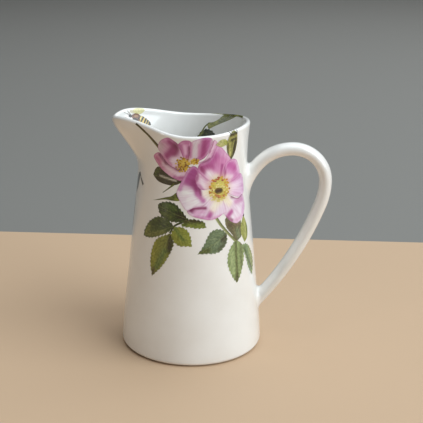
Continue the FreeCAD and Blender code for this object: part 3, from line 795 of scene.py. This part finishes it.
def oval(centre, across, tall, tilt=0.0):
    turns = np.linspace(0, 2 * math.pi, 20, endpoint=False)
    x, y = np.cos(turns) * across / 2, np.sin(turns) * tall / 2
    lean = math.radians(tilt)
    over = centre[0] + x * math.cos(lean) - y * math.sin(lean)
    up = centre[1] + x * math.sin(lean) + y * math.cos(lean)
    return np.stack([over, up], axis=-1)


def add_heart(name, layer, centre, across, tall, ground, strokes, node):
    """The oval middle of a flower, under its stamens."""
    add_print(
        name, oval(centre, across, tall), layer, lambda points: painted(points, ground, strokes),
        lambda points: points, MARKS, "rose_print", (node,),
    )


def build_right_rose():
    node = "right_rose_transfer"
    foot = (17.6, 100.8)
    glow = 6.6
    add_petal("right_rose_petal_right", 10, foot, glow, [
        (19.0, 101.0), (25.0, 104.6), (30.0, 104.8), (34.5, 106.4), (37.4, 103.6), (38.2, 98.5),
        (37.2, 94.6), (33.0, 93.6), (27.5, 95.0), (21.0, 98.6),
    ], (234, 206, 232), [
        ((25, 104), (34, 105.2), 1.8, (206, 128, 186), 0.9),
        ((36.8, 103), (37, 96), 1.5, (222, 176, 216), 0.8),
        ((25, 100.4), (31, 99.6), 2.2, (244, 228, 242), 0.8),
        ((28, 96), (34, 95), 1.0, (226, 182, 216), 0.8),
    ], node)
    add_petal("right_rose_petal_low_right", 11, foot, glow, [
        (18.6, 99.8), (23.0, 97.0), (27.0, 94.6), (31.0, 93.2), (35.6, 94.2), (37.4, 91.0),
        (37.2, 85.6), (33.8, 81.2), (29.0, 79.4), (24.6, 81.2), (21.6, 84.0), (18.6, 88.4),
        (17.2, 94.0),
    ], (240, 228, 240), [
        ((26, 95), (31, 93.6), 1.1, (96, 40, 66), 0.95),
        ((31, 93.2), (35.6, 94.8), 1.3, (112, 52, 84), 0.9),
        ((29, 91.6), (35, 91.6), 1.8, (204, 136, 184), 0.75),
        ((22.4, 84.8), (25, 86.6), 1.5, (180, 84, 148), 0.95),
        ((21.8, 84.0), (25.4, 81.6), 0.9, DEEP, 0.8),
        ((34.4, 82.6), (36.6, 88), 1.8, (224, 176, 216), 0.8),
        ((27.5, 80.8), (32, 81.4), 1.4, (222, 172, 206), 0.8),
        ((20.6, 95), (24, 91.6), 2.2, (246, 240, 214), 0.9),
    ], node)
    add_petal("right_rose_petal_bottom", 12, foot, glow, [
        (16.0, 100.0), (10.4, 96.6), (6.0, 93.6), (2.6, 92.2), (0.4, 91.8), (-1.2, 90.8), (-0.8, 88.0),
        (2.6, 86.0), (7.0, 84.8), (11.4, 83.9), (16.0, 84.8), (19.4, 86.4), (21.6, 87.0), (20.4, 92.0),
        (18.8, 97.0),
    ], (238, 222, 238), [
        ((-0.8, 90.2), (1.8, 89.4), 1.5, (120, 34, 86), 0.95),
        ((1.8, 90.8), (8.8, 90.6), 0.9, (126, 36, 84), 0.9),
        ((3, 88.4), (7.5, 88.8), 1.3, (224, 176, 212), 0.9),
        ((10.6, 85.4), (12.2, 88.2), 1.6, (176, 82, 150), 0.95),
        ((3, 86.2), (10, 84.8), 1.1, (206, 130, 184), 0.9), ((13, 84.6), (18, 85.8), 0.8, PINK, 0.7),
        ((13.5, 90), (17, 94.4), 2.4, (248, 244, 226), 0.95),
        ((15, 95.8), (19, 95.8), 1.4, (226, 212, 130), 0.8),
    ], node)
    add_petal("right_rose_petal_left", 13, foot, glow, [
        (15.6, 100.2), (11.4, 102.8), (8.0, 104.6), (6.0, 108.6), (4.6, 112.4), (1.6, 113.8),
        (-1.6, 111.2), (-4.0, 106.6), (-6.6, 101.6), (-7.4, 98.2), (-4.6, 93.0), (-1.6, 89.4),
        (2.0, 90.8), (7.6, 91.8), (11.0, 94.6),
    ], (238, 232, 240), [
        ((2.4, 112), (-1.6, 106), 3.2, (168, 70, 142), 0.95),
        ((4.4, 110), (1.4, 104.4), 2.6, (156, 58, 128), 0.9),
        ((-4.2, 106), (-5.6, 101), 1.4, (196, 120, 180), 0.85),
        ((2.6, 104.6), (4.6, 99), 1.9, (142, 48, 112), 0.95),
        ((4.6, 98.6), (7.6, 94.8), 1.6, (190, 108, 168), 0.9),
        ((5.4, 102), (6.4, 98), 0.8, (120, 36, 92), 0.8),
        ((-1.6, 98.6), (2.6, 92.8), 3.0, (246, 244, 246), 0.9),
        ((9, 98.6), (13, 98.6), 2.4, (246, 240, 226), 0.9),
        ((2.4, 91), (8, 92), 0.5, (200, 150, 184), 0.8),
    ], node)
    add_petal("right_rose_petal_small", 14, foot, glow, [
        (15.4, 101.4), (11.8, 101.0), (7.6, 100.6), (4.6, 102.6), (3.2, 106.6), (4.4, 110.2),
        (6.6, 109.4), (9.4, 106.8), (12.6, 104.4),
    ], (232, 200, 222), [
        ((4.4, 109.4), (3.8, 105.6), 0.9, (150, 56, 116), 0.9),
        ((7, 108.6), (10, 106), 0.9, (196, 128, 172), 0.8),
        ((6.4, 106), (8.4, 102.4), 1.3, (244, 230, 240), 0.85),
        ((4.4, 103.8), (7.6, 100.8), 0.8, (176, 92, 150), 0.8),
    ], node)
    add_petal("right_rose_petal_top", 15, foot, glow, [
        (16.4, 102.0), (11.6, 105.0), (7.8, 108.0), (4.8, 110.8), (5.2, 114.4), (9.6, 116.2),
        (12.6, 118.8), (14.2, 122.0), (15.8, 124.4), (18.6, 123.2), (22.0, 119.8), (25.4, 116.2),
        (22.6, 113.6), (20.6, 109.8), (18.8, 105.0),
    ], (214, 138, 190), [
        ((7, 113.2), (13.4, 113.8), 2.6, (170, 72, 136), 0.88),
        ((6, 113), (8.6, 110), 1.2, (150, 52, 112), 0.9),
        ((13, 116.4), (16, 119.6), 2.2, (186, 88, 158), 0.8),
        ((16, 123), (18.6, 119.6), 1.7, (218, 160, 204), 0.9),
        ((20.4, 119.4), (24.4, 116.4), 1.5, (226, 172, 210), 0.9),
        ((15.4, 114), (17, 109.6), 1.6, (214, 146, 194), 0.8),
        ((11.0, 109.4), (14.4, 106.4), 2.6, (246, 238, 244), 0.97),
        ((15.4, 107.4), (17, 104.8), 1.9, (240, 226, 232), 0.9),
        ((19.4, 113.4), (18.8, 107.6), 0.9, (168, 74, 138), 0.9),
        ((10, 115.8), (13.4, 119), 0.7, (150, 56, 124), 0.7),
    ], node)
    add_petal("right_rose_petal_top_right", 16, foot, glow, [
        (18.8, 102.6), (19.4, 106.8), (20.4, 111.2), (22.6, 114.6), (26.6, 115.8), (30.2, 114.8),
        (32.4, 111.2), (33.8, 106.8), (30.6, 104.2), (26.4, 103.4), (22.4, 102.8),
    ], (220, 160, 206), [
        ((24.4, 113), (28.6, 110.6), 2.6, (196, 96, 168), 0.92),
        ((20.8, 112.4), (21.4, 107.4), 1.0, (158, 62, 126), 0.9),
        ((30.8, 113.2), (33, 108), 1.3, (236, 202, 228), 0.9),
        ((22.6, 106.6), (26.4, 105.8), 1.5, (242, 222, 236), 0.85),
        ((26.6, 104), (32.6, 106), 1.0, (198, 112, 174), 0.85),
        ((28.6, 108), (30.6, 106.6), 1.0, (206, 132, 186), 0.7),
    ], node)
    bright = ((206, 160, 60), (186, 106, 50), (208, 130, 70), (222, 190, 86), (164, 84, 66))
    lemon = ((216, 204, 90), (192, 178, 60), (232, 218, 120))
    straw = ((222, 206, 120), (208, 186, 84), (232, 222, 150))
    add_heart("right_rose_heart", 17, (17.5, 100.9), 11.6, 11.0, (206, 194, 86), [
        ((16.6, 103.4), (19.4, 103.4), 2.2, (226, 216, 112), 0.9),
        ((13.4, 101), (13.8, 98.6), 1.2, (186, 170, 74), 0.7),
    ], node)
    add_stamens(
        "right_rose_inner_stamens", 18, (17.6, 101.0), [(2.4, 12, 1.0, lemon), (3.8, 20, 1.1, lemon)],
        0.92, node, 21,
    )
    add_stamens(
        "right_rose_outer_stamens", 20, (17.6, 101.3), [(5.0, 24, 1.3, bright), (6.0, 26, 1.3, bright)],
        0.95, node, 22,
    )
    add_stamens(
        "right_rose_low_stamens", 22, (17.4, 98.2), [(4.4, 22, 1.1, straw), (5.6, 20, 1.0, straw)], 0.8,
        node, 23,
    )
    add_heart("right_rose_eye", 25, (17.0, 99.5), 5.4, 3.6, (176, 156, 62), [
        ((15.8, 99.4), (18.2, 99.6), 1.3, (54, 30, 14), 1.0),
        ((16.2, 100.6), (16.4, 100.7), 0.7, (96, 64, 24), 0.8),
    ], node)


# ---------------------------------------------------------------- leaves
def add_leaf(name, layer, base, left, tip, right, ground, strokes, slot, node, teeth=0.75, inside=False):
    """One leaf: left and right are the edge's points, seen from base to tip."""
    first = smooth([base, *left, tip], closed=False)
    second = smooth([tip, *right, base], closed=False)
    if teeth:
        first = toothed(first, teeth, TOOTH_PITCH)
        second = toothed(second[::-1], -teeth, TOOTH_PITCH)[::-1]
    curve = np.concatenate([first[:-1], second[:-1]])[::-1]
    base, tip = np.array(base, dtype=float), np.array(tip, dtype=float)
    run = (tip - base) / np.linalg.norm(tip - base)

    def uv(points):
        offset = points - base
        return np.stack([offset @ run, offset @ np.array([-run[1], run[0]])], axis=-1)

    add_print(
        name, curve, layer, lambda points: painted(points, ground, strokes), uv, LEAVES, slot, (node,),
        inside,
    )


def add_stem(name, layer, points, widths, colours, slot, node, inside=False):
    """A tapering stem along a smooth curve, painted darker along one side."""
    curve = smooth(points, closed=False)
    run = unit(np.gradient(curve, axis=0))
    side = np.stack([-run[:, 1], run[:, 0]], axis=-1)
    half = np.linspace(widths[0], widths[1], len(curve))[:, None] / 2
    left, right = curve + side * half, curve - side * half
    outline = np.concatenate([right, left[::-1]])
    light, dark = (np.array(colour) for colour in colours)

    def shade(drawn):
        share = np.clip(edge_distance(drawn, left) / max(widths), 0, 1)[:, None]
        return light * share + dark * (1 - share)

    add_print(
        name, outline, layer, shade, lambda drawn: drawn, MARKS, slot, (node,), inside,
        spacing=FINE_SPACING,
    )


def build_left_leaves():
    node = "left_leaves_transfer"
    slot = "leaf_print"
    add_stem(
        "left_spray_stem", 1, [(-0.6, 84.9), (-4.5, 82.6), (-8.2, 80.3), (-10.6, 76.0)], (1.3, 0.9),
        (MID_LEAF, BLACK_LEAF), slot, node,
    )
    add_leaf("left_spray_leaf_top", 2, (-1.2, 84.8), [(-6.5, 82.9), (-12.5, 83.4), (-16.8, 86.0)],
        (-19.0, 90.6), [(-16.6, 92.0), (-12.6, 93.0), (-8.2, 92.2), (-4.6, 89.0)], DARK_LEAF, [
        ((-9, 90.5), (-14, 91), 1.6, MID_LEAF, 0.7), ((-10, 85), (-15, 86.5), 1.2, OLIVE, 0.35),
        ((-2, 85), (-6, 86.5), 1.6, BLACK_LEAF, 0.8),
    ], slot, node)
    add_leaf("left_spray_leaf_left", 3, (-8.4, 80.2), [(-12.0, 76.6), (-17.5, 73.6), (-23.0, 71.6)],
        (-28.2, 71.2), [
        (-26.8, 76.0), (-23.6, 80.6), (-18.0, 84.0), (-12.4, 83.2),
    ], (66, 84, 30), [
        ((-10, 81), (-18, 80), 2.4, DARK_LEAF, 0.8), ((-14, 76), (-24, 72.6), 1.8, (122, 124, 52), 0.8),
        ((-26.5, 73), (-24, 77), 1.5, OLIVE, 0.6),
    ], slot, node)
    add_leaf("left_spray_leaf_right", 3, (-2.4, 84.2), [(-4.6, 80.8), (0.6, 79.8), (5.4, 79.2)],
        (9.3, 79.8), [(8.4, 83.0), (5.4, 84.4), (1.4, 85.0)], (96, 112, 44), [
        ((-2, 84), (6, 84), 1.5, (48, 42, 14), 0.85), ((0, 81), (7, 80.6), 1.2, LIME, 0.5),
    ], slot, node)
    add_leaf("left_spray_leaf_low", 4, (-8.2, 80.0), [(-9.9, 76.4), (-9.4, 73.0), (-5.4, 69.4)],
        (1.6, 69.5), [(1.2, 74.4), (-0.8, 78.6), (-4.4, 80.4)], (142, 148, 58), [
        ((-7.6, 79), (-3, 73), 0.9, MID_LEAF, 0.7), ((-1.6, 77.4), (0.6, 72), 1.3, LIME, 0.7),
        ((-8.8, 76), (-5, 70.6), 1.3, OLIVE, 0.6),
    ], slot, node)
    add_leaf("left_spray_leaf_bottom", 4, (-10.4, 76.0), [
        (-15.0, 74.2), (-19.2, 70.8), (-21.6, 63.6), (-21.6, 56.4),
    ], (-19.8, 50.0), [(-14.8, 55.6), (-10.8, 62.2), (-8.0, 69.6), (-8.4, 73.4)], (128, 132, 40), [
        ((-9.6, 74), (-10.4, 67), 2.0, BLACK_LEAF, 0.75),
        ((-19.6, 70), (-20.2, 57), 2.2, (156, 154, 48), 0.85),
        ((-13, 66), (-17.5, 56), 1.6, MID_LEAF, 0.7), ((-19.8, 51), (-19, 54), 1.2, (70, 56, 18), 0.9),
    ], slot, node)
    node = "sepal_leaf_transfer"
    add_leaf("sepal_leaf", 0, (-3.5, 105.4), [
        (-6.5, 103.6), (-11.0, 102.4), (-18.4, 103.2), (-21.8, 104.8),
    ], (-23.8, 106.6), [
        (-21.8, 110.4), (-18.8, 111.8), (-14.6, 110.0), (-8.0, 107.6),
    ], (40, 34, 12), [
        ((-20, 109.5), (-22, 107), 1.6, MID_LEAF, 0.6),
        ((-18.6, 106.9), (-8, 105.2), 0.6, (226, 216, 214), 0.95),
    ], slot, node, teeth=0.0)
    add_stem(
        "sepal_tip", 0, [(-9.0, 103.4), (-12.0, 101.0), (-16.2, 97.8)], (1.1, 0.3), (OLIVE, DARK_LEAF),
        slot, node,
    )
    node = "small_leaf_transfer"
    add_leaf("small_leaf", 0, (-3.8, 95.0), [(-7.0, 94.2), (-10.6, 94.2), (-14.5, 94.2)], (-23.0, 92.4),
        [(-14.5, 95.4), (-10.6, 96.6), (-7.4, 98.8), (-5.0, 97.2)], (96, 104, 44), [
        ((-6.6, 98), (-4, 95.4), 1.1, BLACK_LEAF, 0.9), ((-8, 95), (-6, 94.6), 0.8, LIME, 0.6),
    ], slot, node, teeth=0.0)


def build_right_leaves():
    node = "right_leaves_transfer"
    slot = "leaf_print"
    add_leaf("right_spray_leaf_high", 1, (27.6, 69.2), [(24.4, 74.4), (21.4, 78.4), (20.8, 83.4)],
        (25.6, 86.0), [(31.6, 81.0), (33.0, 76.0), (32.0, 71.4)], (110, 104, 76), [
        ((23, 80), (26, 78), 1.6, UMBER, 0.7), ((29, 75), (30, 71.6), 1.8, SAGE, 0.8),
        ((27, 79.5), (31, 78.6), 1.0, (150, 120, 104), 0.5),
    ], slot, node, teeth=0.3)
    add_leaf("right_spray_leaf_lime", 2, (34.8, 66.8), [(32.2, 72.0), (32.0, 76.4), (33.4, 79.4)],
        (35.4, 82.2), [(37.6, 78.6), (39.2, 74.0), (38.2, 69.0)], (168, 170, 86), [
        ((36, 80), (36.6, 70), 0.8, (196, 198, 124), 0.8), ((38.4, 76), (38, 69), 0.8, MID_LEAF, 0.6),
    ], slot, node, teeth=0.0)
    add_stem("right_spray_stem", 3, [(14.6, 85.4), (17.6, 80.6), (21.6, 75.6), (26.6, 70.0)], (1.7, 1.5),
             ((178, 186, 132), (84, 92, 48)), slot, node)
    add_leaf("right_spray_leaf_left", 4, (21.2, 74.9),
        [(18.6, 77.8), (14.4, 78.6), (10.8, 76.6), (7.6, 70.4)], (4.4, 65.2),
        [(9.4, 65.0), (14.6, 64.8), (18.4, 66.6), (21.4, 70.6)], (110, 130, 98), [
        ((20.8, 73.6), (18.6, 72), 1.6, (44, 48, 34), 0.85), ((12, 74.5), (16, 70), 1.6, SAGE, 0.6),
        ((6, 66.4), (10, 67), 1.5, (74, 84, 34), 0.8), ((16, 67), (20, 70), 1.0, (64, 74, 52), 0.7),
    ], slot, node)
    add_leaf("right_spray_leaf_low", 5, (26.9, 70.2), [(30.8, 67.0), (32.9, 60.2), (30.2, 52.0)],
        (26.3, 45.6), [(23.4, 51.0), (21.2, 58.0), (22.4, 64.8)], (150, 168, 112), [
        ((23.6, 64), (24.2, 52), 1.6, PALE_SAGE, 0.8), ((27, 69), (26.8, 50), 0.8, (74, 82, 48), 0.85),
        ((31, 66), (30.5, 54), 1.2, (96, 108, 74), 0.6),
        ((26.4, 47), (26.6, 49.5), 1.2, (58, 60, 36), 0.8),
    ], slot, node)
    add_leaf("right_spray_leaf_far", 5, (31.6, 66.0), [(36.6, 65.0), (40.6, 61.0), (43.6, 53.6)],
        (40.8, 45.4), [(37.2, 51.4), (35.2, 58.0), (33.2, 62.8)], (136, 158, 108), [
        ((34, 64), (40, 50), 0.7, (74, 86, 52), 0.7), ((39, 61), (42, 54), 1.1, PALE_SAGE, 0.6),
    ], slot, node)
    add_stem(
        "right_spray_twig", 3, [(26.6, 70.4), (29.2, 68.4), (32.2, 65.8)], (1.1, 0.8),
        ((120, 118, 72), UMBER), slot, node,
    )
    add_stem("tip_thorn", 2, [(35.4, 81.6), (36.4, 82.8)], (1.4, 0.5), (UMBER, BLACK_LEAF), slot, node)


def build_bud():
    node = "rosebud_transfer"
    slot = "bud_print"
    add_leaf("bud_leaflet", 26, (22.8, 124.2), [(20.8, 124.2), (18.0, 123.6)], (14.6, 125.2),
        [(18.0, 127.6), (21.6, 127.2)], (206, 204, 136), [
        ((22.6, 125.4), (20.4, 126), 0.9, LIME, 0.8),
        ((16, 125.6), (15, 125.2), 1.0, (222, 206, 178), 0.8),
    ], slot, node, teeth=0.0)
    add_leaf("rosebud", 27, (25.9, 115.6), [(28.6, 119.4), (29.9, 124.6), (29.4, 129.2)], (27.6, 131.6),
        [(24.2, 130.0), (22.2, 124.8), (23.0, 119.8)], (176, 172, 96), [
        ((28.6, 125), (27.4, 118.6), 1.3, BLACK_LEAF, 0.95),
        ((29.2, 130.2), (24.4, 129.4), 1.0, (50, 44, 12), 0.9),
        ((28.8, 127.2), (25, 126.6), 0.7, BLACK_LEAF, 0.85),
        ((26.0, 126), (25.6, 122.6), 0.45, (66, 62, 22), 0.85),
        ((22.6, 125), (23.2, 119.6), 0.5, (60, 58, 20), 0.9),
        ((24.4, 122.4), (24.6, 118.6), 0.8, (206, 200, 126), 0.8),
        ((25.9, 117.2), (26, 115.6), 0.8, BLACK_LEAF, 0.8),
    ], slot, node, teeth=0.0)
    spikes = [
        thin_line((24.6 + 1.5 * i, 129.6), (23.8 + 2.0 * i, 132.6 - 0.3 * i), 0.8, 0.2)
        for i in range(4)
    ]
    add_marks("bud_sepal_tips", 28, [(spike, (50, 42, 12), 0) for spike in spikes], slot, (node,))


def build_rim_stem():
    add_stem(
        "rim_stem", 1, [(-33.6, 133.4), (-28.4, 129.6), (-19.0, 122.4)], (1.2, 1.9),
        ((112, 108, 46), (54, 46, 14)), "stem_print", "rim_stem_transfer",
    )


def build_side_sprig():
    node = "spout_sprig_transfer"
    add_leaf(
        "side_leaf", 1, (-38.2, 105.0), [(-41.0, 104.0), (-44.0, 101.0), (-45.6, 96.0)], (-44.6, 90.8),
        [(-42.2, 94.4), (-40.2, 99.0)], (46, 36, 26),
        [((-40, 102.4), (-43.6, 95), 1.2, BLACK_LEAF, 0.7)], "leaf_print", node, teeth=0.0,
    )
    add_leaf("side_leaf_low", 1, (-48.0, 89.0), [(-51.4, 84.0), (-51.0, 76.0)], (-48.2, 66.0),
             [(-46.4, 74.0), (-46.0, 84.0)], (58, 70, 34),
             [((-48, 88), (-48.2, 68), 0.8, BLACK_LEAF, 0.6)], "leaf_print", node, teeth=0.4)
    add_stem(
        "side_stem_low", 0, [(-39.4, 103.4), (-45.8, 98.0), (-48.0, 88.6)], (0.9, 0.8),
        ((96, 92, 50), (58, 56, 28)), "stem_print", node,
    )
    add_stem(
        "side_stem", 2, [(-38.9, 104.0), (-37.0, 101.6), (-33.4, 98.6)], (1.0, 1.7),
        ((112, 96, 58), (70, 56, 34)), "stem_print", node,
    )


def build_inner_sprig():
    node = "inner_sprig_transfer"
    slot = "leaf_print"
    add_leaf("inner_leaf_dark", 1, (103.4, 115.0), [(98.6, 113.6), (93.0, 113.8)], (88.4, 116.2), [
        (90.6, 118.4), (93.0, 119.9), (96.0, 120.4), (99.0, 119.2),
    ], (50, 60, 38), [
        ((101.8, 116.2), (98.5, 118.6), 1.0, (130, 132, 78), 0.7),
        ((96, 119), (91, 117.6), 1.2, (40, 44, 34), 0.8),
    ], slot, node, inside=True)
    add_leaf("inner_leaf_lime", 2, (95.8, 123.4), [
        (94.4, 120.9), (91.0, 122.4), (84.2, 125.3), (78.5, 127.6),
    ], (72.0, 130.6), [
        (76.7, 130.4), (82.8, 130.1), (87.6, 126.9), (91.5, 125.0), (94.6, 124.5),
    ], (156, 158, 96), [
        ((94.6, 123.6), (92.6, 122.2), 1.0, (196, 192, 122), 0.8),
        ((90.4, 124.2), (88.6, 126), 0.8, (186, 186, 104), 0.8),
        ((86.5, 125.6), (80, 128.4), 1.1, (118, 122, 84), 0.8),
        ((78, 129.6), (73, 130.6), 1.6, (104, 104, 66), 0.7),
    ], slot, node, teeth=0.0, inside=True)
    add_stem("inner_stem", 3, [(94.4, 124.3), (97.2, 122.0), (99.0, 119.4), (101.2, 116.2)], (0.7, 1.1),
             ((150, 152, 84), (84, 88, 40)), slot, node, inside=True)


def build_rim_leaf():
    """A dark leaf of the inner sprig that lies along the lip."""
    add_leaf("leaf_on_lip", 2, (62.4, 131.2), [(66.0, 132.9), (74.0, 133.2), (84.0, 132.2)],
        (94.0, 130.2), [(86.0, 130.0), (78.0, 130.0), (69.0, 131.0)], (122, 124, 66), [
        ((75, 131.4), (85, 131.2), 0.9, BLACK_LEAF, 0.95),
        ((64, 131.6), (70, 131.8), 0.6, (74, 76, 36), 0.8),
    ], "leaf_print", "inner_sprig_transfer", teeth=0.0, inside=True)


def build_bee():
    """A honey bee at rest inside the spout, with its head towards the tip."""
    coat, black, brown = (222, 190, 92), (34, 26, 8), (120, 82, 60)
    marks = [
        (
            smooth([
                (142.2, 131.4), (143.6, 133.6), (141.6, 134.9), (138.6, 134.6), (137.6, 133.2),
                (139.8, 131.4),
            ]),
            (230, 224, 168), 0,
        ),
        (smooth([(143.4, 131.8), (145.0, 133.2), (144.4, 134.4), (143.2, 133.4)]), (226, 220, 196), 0),
        (
            smooth([
                (140.9, 130.7), (139.4, 129.4), (137.7, 127.7), (136.6, 126.2), (136.3, 124.6),
                (137.2, 124.1), (138.8, 124.6), (140.3, 125.2), (142.1, 126.1), (142.4, 128.4),
            ]),
            coat, 1,
        ),
        (smooth([(139.9, 129.6), (139.2, 128.7), (140.7, 127.4), (141.4, 127.9)]), (236, 216, 130), 2),
        (
            smooth([
                (144.0, 131.4), (141.9, 131.9), (140.5, 130.4), (141.2, 128.2), (142.0, 126.7),
                (143.6, 127.0), (144.7, 128.5), (144.7, 130.2),
            ]),
            brown, 3,
        ),
        (oval((142.4, 130.2), 2.0, 1.7), (168, 124, 84), 4),
        (oval((143.6, 127.9), 2.4, 1.7, 20), black, 4),
        (oval((145.3, 130.7), 1.7, 2.1), (52, 44, 40), 4),
    ]
    stripes = (
        ((140.4, 130.3), (142.2, 127.6)), ((138.9, 129.0), (141.4, 126.4)),
        ((137.9, 128.0), (139.9, 125.6)), ((137.1, 127.1), (138.9, 124.9)),
        ((136.5, 126.1), (137.7, 124.5)),
    )
    marks += [(thin_line(start, end, 0.9, 0.7), black, 3) for start, end in stripes]
    marks.append((oval((136.7, 124.9), 1.1, 1.3), black, 3))
    legs = (
        ((144.4, 128.4), (145.8, 126.8)), ((143.6, 127.4), (144.2, 125.9)),
        ((142.4, 127.0), (142.2, 125.4)),
    )
    feelers = (((145.6, 131.6), (148.2, 133.4)), ((145.0, 131.8), (146.4, 134.2)))
    marks += [(thin_line(start, end, 0.5, 0.25), (58, 44, 28), 3) for start, end in legs]
    marks += [(thin_line(start, end, 0.25, 0.2), (110, 92, 78), 3) for start, end in feelers]
    add_marks("bee", 1, marks, "bee_print", ("bee_transfer",), inside=True)


def build_back_spray():
    """The hidden side's print is a guess: one open rose over three leaves."""
    node = "back_rose_transfer"
    middle = np.array([104.0, 102.0])
    for k in range(5):
        turn = math.radians(90 + 72 * k)
        ahead = np.array([math.cos(turn), math.sin(turn)])
        side = np.array([-ahead[1], ahead[0]])
        shape = (
            (0, 0), (8, 7.4), (14.5, 9.0), (18.4, 4.6), (17.4, 0.6), (18.6, -4.0), (14.2, -9.2),
            (7.6, -7.2),
        )
        outline = [tuple(middle + ahead * a + side * b) for a, b in shape]
        glow = middle + ahead * 13.5
        edge = middle + ahead * 16.6
        add_petal(f"back_rose_petal_{k + 1}", 2 + k, middle, 7.0, outline, (232, 196, 220), [
            (tuple(glow - side * 6), tuple(glow + side * 5), 3.0, PINK, 0.8),
            (tuple(edge - side * 5), tuple(edge + side * 2), 1.4, MAGENTA, 0.8),
            (tuple(middle), tuple(middle + ahead * 7), 4.0, WHITE, 0.9),
        ], node)
    add_heart(
        "back_rose_heart", 8, middle, 11.0, 10.4, (206, 194, 86), [(middle, middle, 1.6, EYE, 0.95)],
        node,
    )
    add_stamens("back_rose_stamens", 11, tuple(middle), [
        (3.4, 14, 0.9, GOLD), (5.2, 20, 1.0, GOLD), (6.4, 20, 0.9, GOLD),
    ], 0.95, node, 31)
    node = "back_leaves_transfer"
    add_stem(
        "back_stem", 0, [(104.0, 88.0), (104.6, 80.0), (103.4, 74.0)], (1.6, 1.2),
        ((150, 156, 92), MID_LEAF), "leaf_print", node,
    )
    for name, layer, mirror in (("back_leaf_right", 0, 1), ("back_leaf_left", 0, -1)):
        points = [
            (104.0 + mirror * x, z)
            for x, z in (
                (0.6, 77.0), (5.0, 75.0), (10.0, 76.4), (15.4, 82.6), (10.6, 84.6), (4.4, 82.6),
            )
        ]
        left, right = (points[1:3], points[4:]) if mirror > 0 else (points[4:][::-1], points[1:3][::-1])
        add_leaf(name, layer, points[0], left, points[3], right, (78, 92, 40), [
            (points[1], points[2], 2.0, DARK_LEAF, 0.7), (points[4], points[5], 1.6, LIME, 0.4),
        ], "leaf_print", node)
    add_leaf("back_leaf_low", 1, (103.6, 76.0), [(108.6, 70.0), (107.8, 62.0), (104.4, 55.0)],
        (100.4, 51.0), [(98.8, 58.0), (98.6, 65.0), (100.6, 71.6)], (96, 108, 46), [
        ((103.4, 74), (101, 54), 0.9, DARK_LEAF, 0.8), ((107, 68), (105, 58), 1.6, OLIVE, 0.6),
    ], "leaf_print", node)


# ---------------------------------------------------------------- stage, lights and camera
def stage_plane(name, corners, colour):
    mesh = bpy.data.meshes.new(name)
    mesh.from_pydata(corners, [], [(0, 1, 2, 3)])
    plane = bpy.data.objects.new(name, mesh)
    bpy.context.scene.collection.objects.link(plane)
    nodes = Nodes(name)
    nodes.shader.inputs["Base Color"].default_value = (*colour, 1.0)
    nodes.gloss(0.7)
    mesh.materials.append(nodes.material)


def area_light(name, place, target, width, height, power, colour):
    light = bpy.data.lights.new(name, "AREA")
    light.shape = "RECTANGLE"
    light.size, light.size_y = width, height
    light.energy = power
    light.color = colour
    lamp = bpy.data.objects.new(name, light)
    lamp.location = place
    aim = Vector(target) - Vector(place)
    lamp.rotation_euler = aim.to_track_quat("-Z", "Y").to_euler()
    bpy.context.scene.collection.objects.link(lamp)


def build_stage():
    """A warm table top that ends behind the jug, a grey floor beyond it, and soft window light."""
    edge, side, far = 0.175, 4.0, 6.0
    table = [(-side, -side, 0), (side, -side, 0), (side, edge, 0), (-side, edge, 0)]
    beyond = [(-side, edge, 0), (side, edge, 0), (side, far, 0), (-side, far, 0)]
    stage_plane("floor", table, srgb(200, 171, 141))
    stage_plane("floor_behind", beyond, srgb(128, 127, 123))
    daylight = (0.88, 0.955, 1.0)
    middle = (0.0, 0.0, 0.07)
    area_light("key_window", (2.0, -0.9, 1.43), middle, 2.4, 2.4, 60.0, daylight)
    area_light("top_soft", (0.5, 0.0, 2.33), middle, 2.4, 2.4, 42.0, daylight)
    area_light("far_soft", (0.6, 1.7, 1.5), (0.6, 1.9, 0.0), 2.0, 2.0, 12.0, (0.95, 0.97, 1.0))
    area_light("left_strip", (-0.62, -0.5, 0.25), middle, 0.03, 0.4, 0.5, (1.0, 0.99, 0.96))
    world = bpy.data.worlds.new("world")
    world.use_nodes = True
    background = world.node_tree.nodes["Background"]
    background.inputs["Color"].default_value = (0.80, 0.78, 0.75, 1.0)
    background.inputs["Strength"].default_value = 0.12
    bpy.context.scene.world = world


def build_camera():
    """A 77 mm lens on a 36 mm wide sensor, about 18 degrees above the level of the jug."""
    place = Vector((0.02576, -0.4932, 0.24075))
    yaw, pitch, roll = (math.radians(degrees) for degrees in (-1.726, 18.186, 0.921))
    forward = Vector((math.sin(yaw) * math.cos(pitch), math.cos(yaw) * math.cos(pitch), -math.sin(pitch)))
    level = Vector((math.cos(yaw), -math.sin(yaw), 0.0))
    right = level * math.cos(roll) + level.cross(forward) * math.sin(roll)
    up = right.cross(forward)
    data = bpy.data.cameras.new("camera")
    data.sensor_width = 36.0
    data.lens = 76.85
    camera = bpy.data.objects.new("camera", data)
    turn = Matrix((right, up, -forward)).transposed()
    camera.matrix_world = Matrix.Translation(place) @ turn.to_4x4()
    bpy.context.scene.collection.objects.link(camera)
    bpy.context.scene.camera = camera


porcelain = porcelain_material()
build_body(porcelain)
build_handle(porcelain)
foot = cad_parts["foot_ring"]
foot.data.materials.clear()
foot.data.materials.append(bare_clay_material())
PETALS = petal_material()
LEAVES = leaf_material()
MARKS = mark_material()
build_left_leaves()
build_right_leaves()
build_left_rose()
build_right_rose()
build_bud()
build_rim_stem()
build_side_sprig()
build_inner_sprig()
build_rim_leaf()
build_bee()
build_back_spray()
build_stage()
build_camera()
bpy.context.scene.view_settings.view_transform = "Standard"
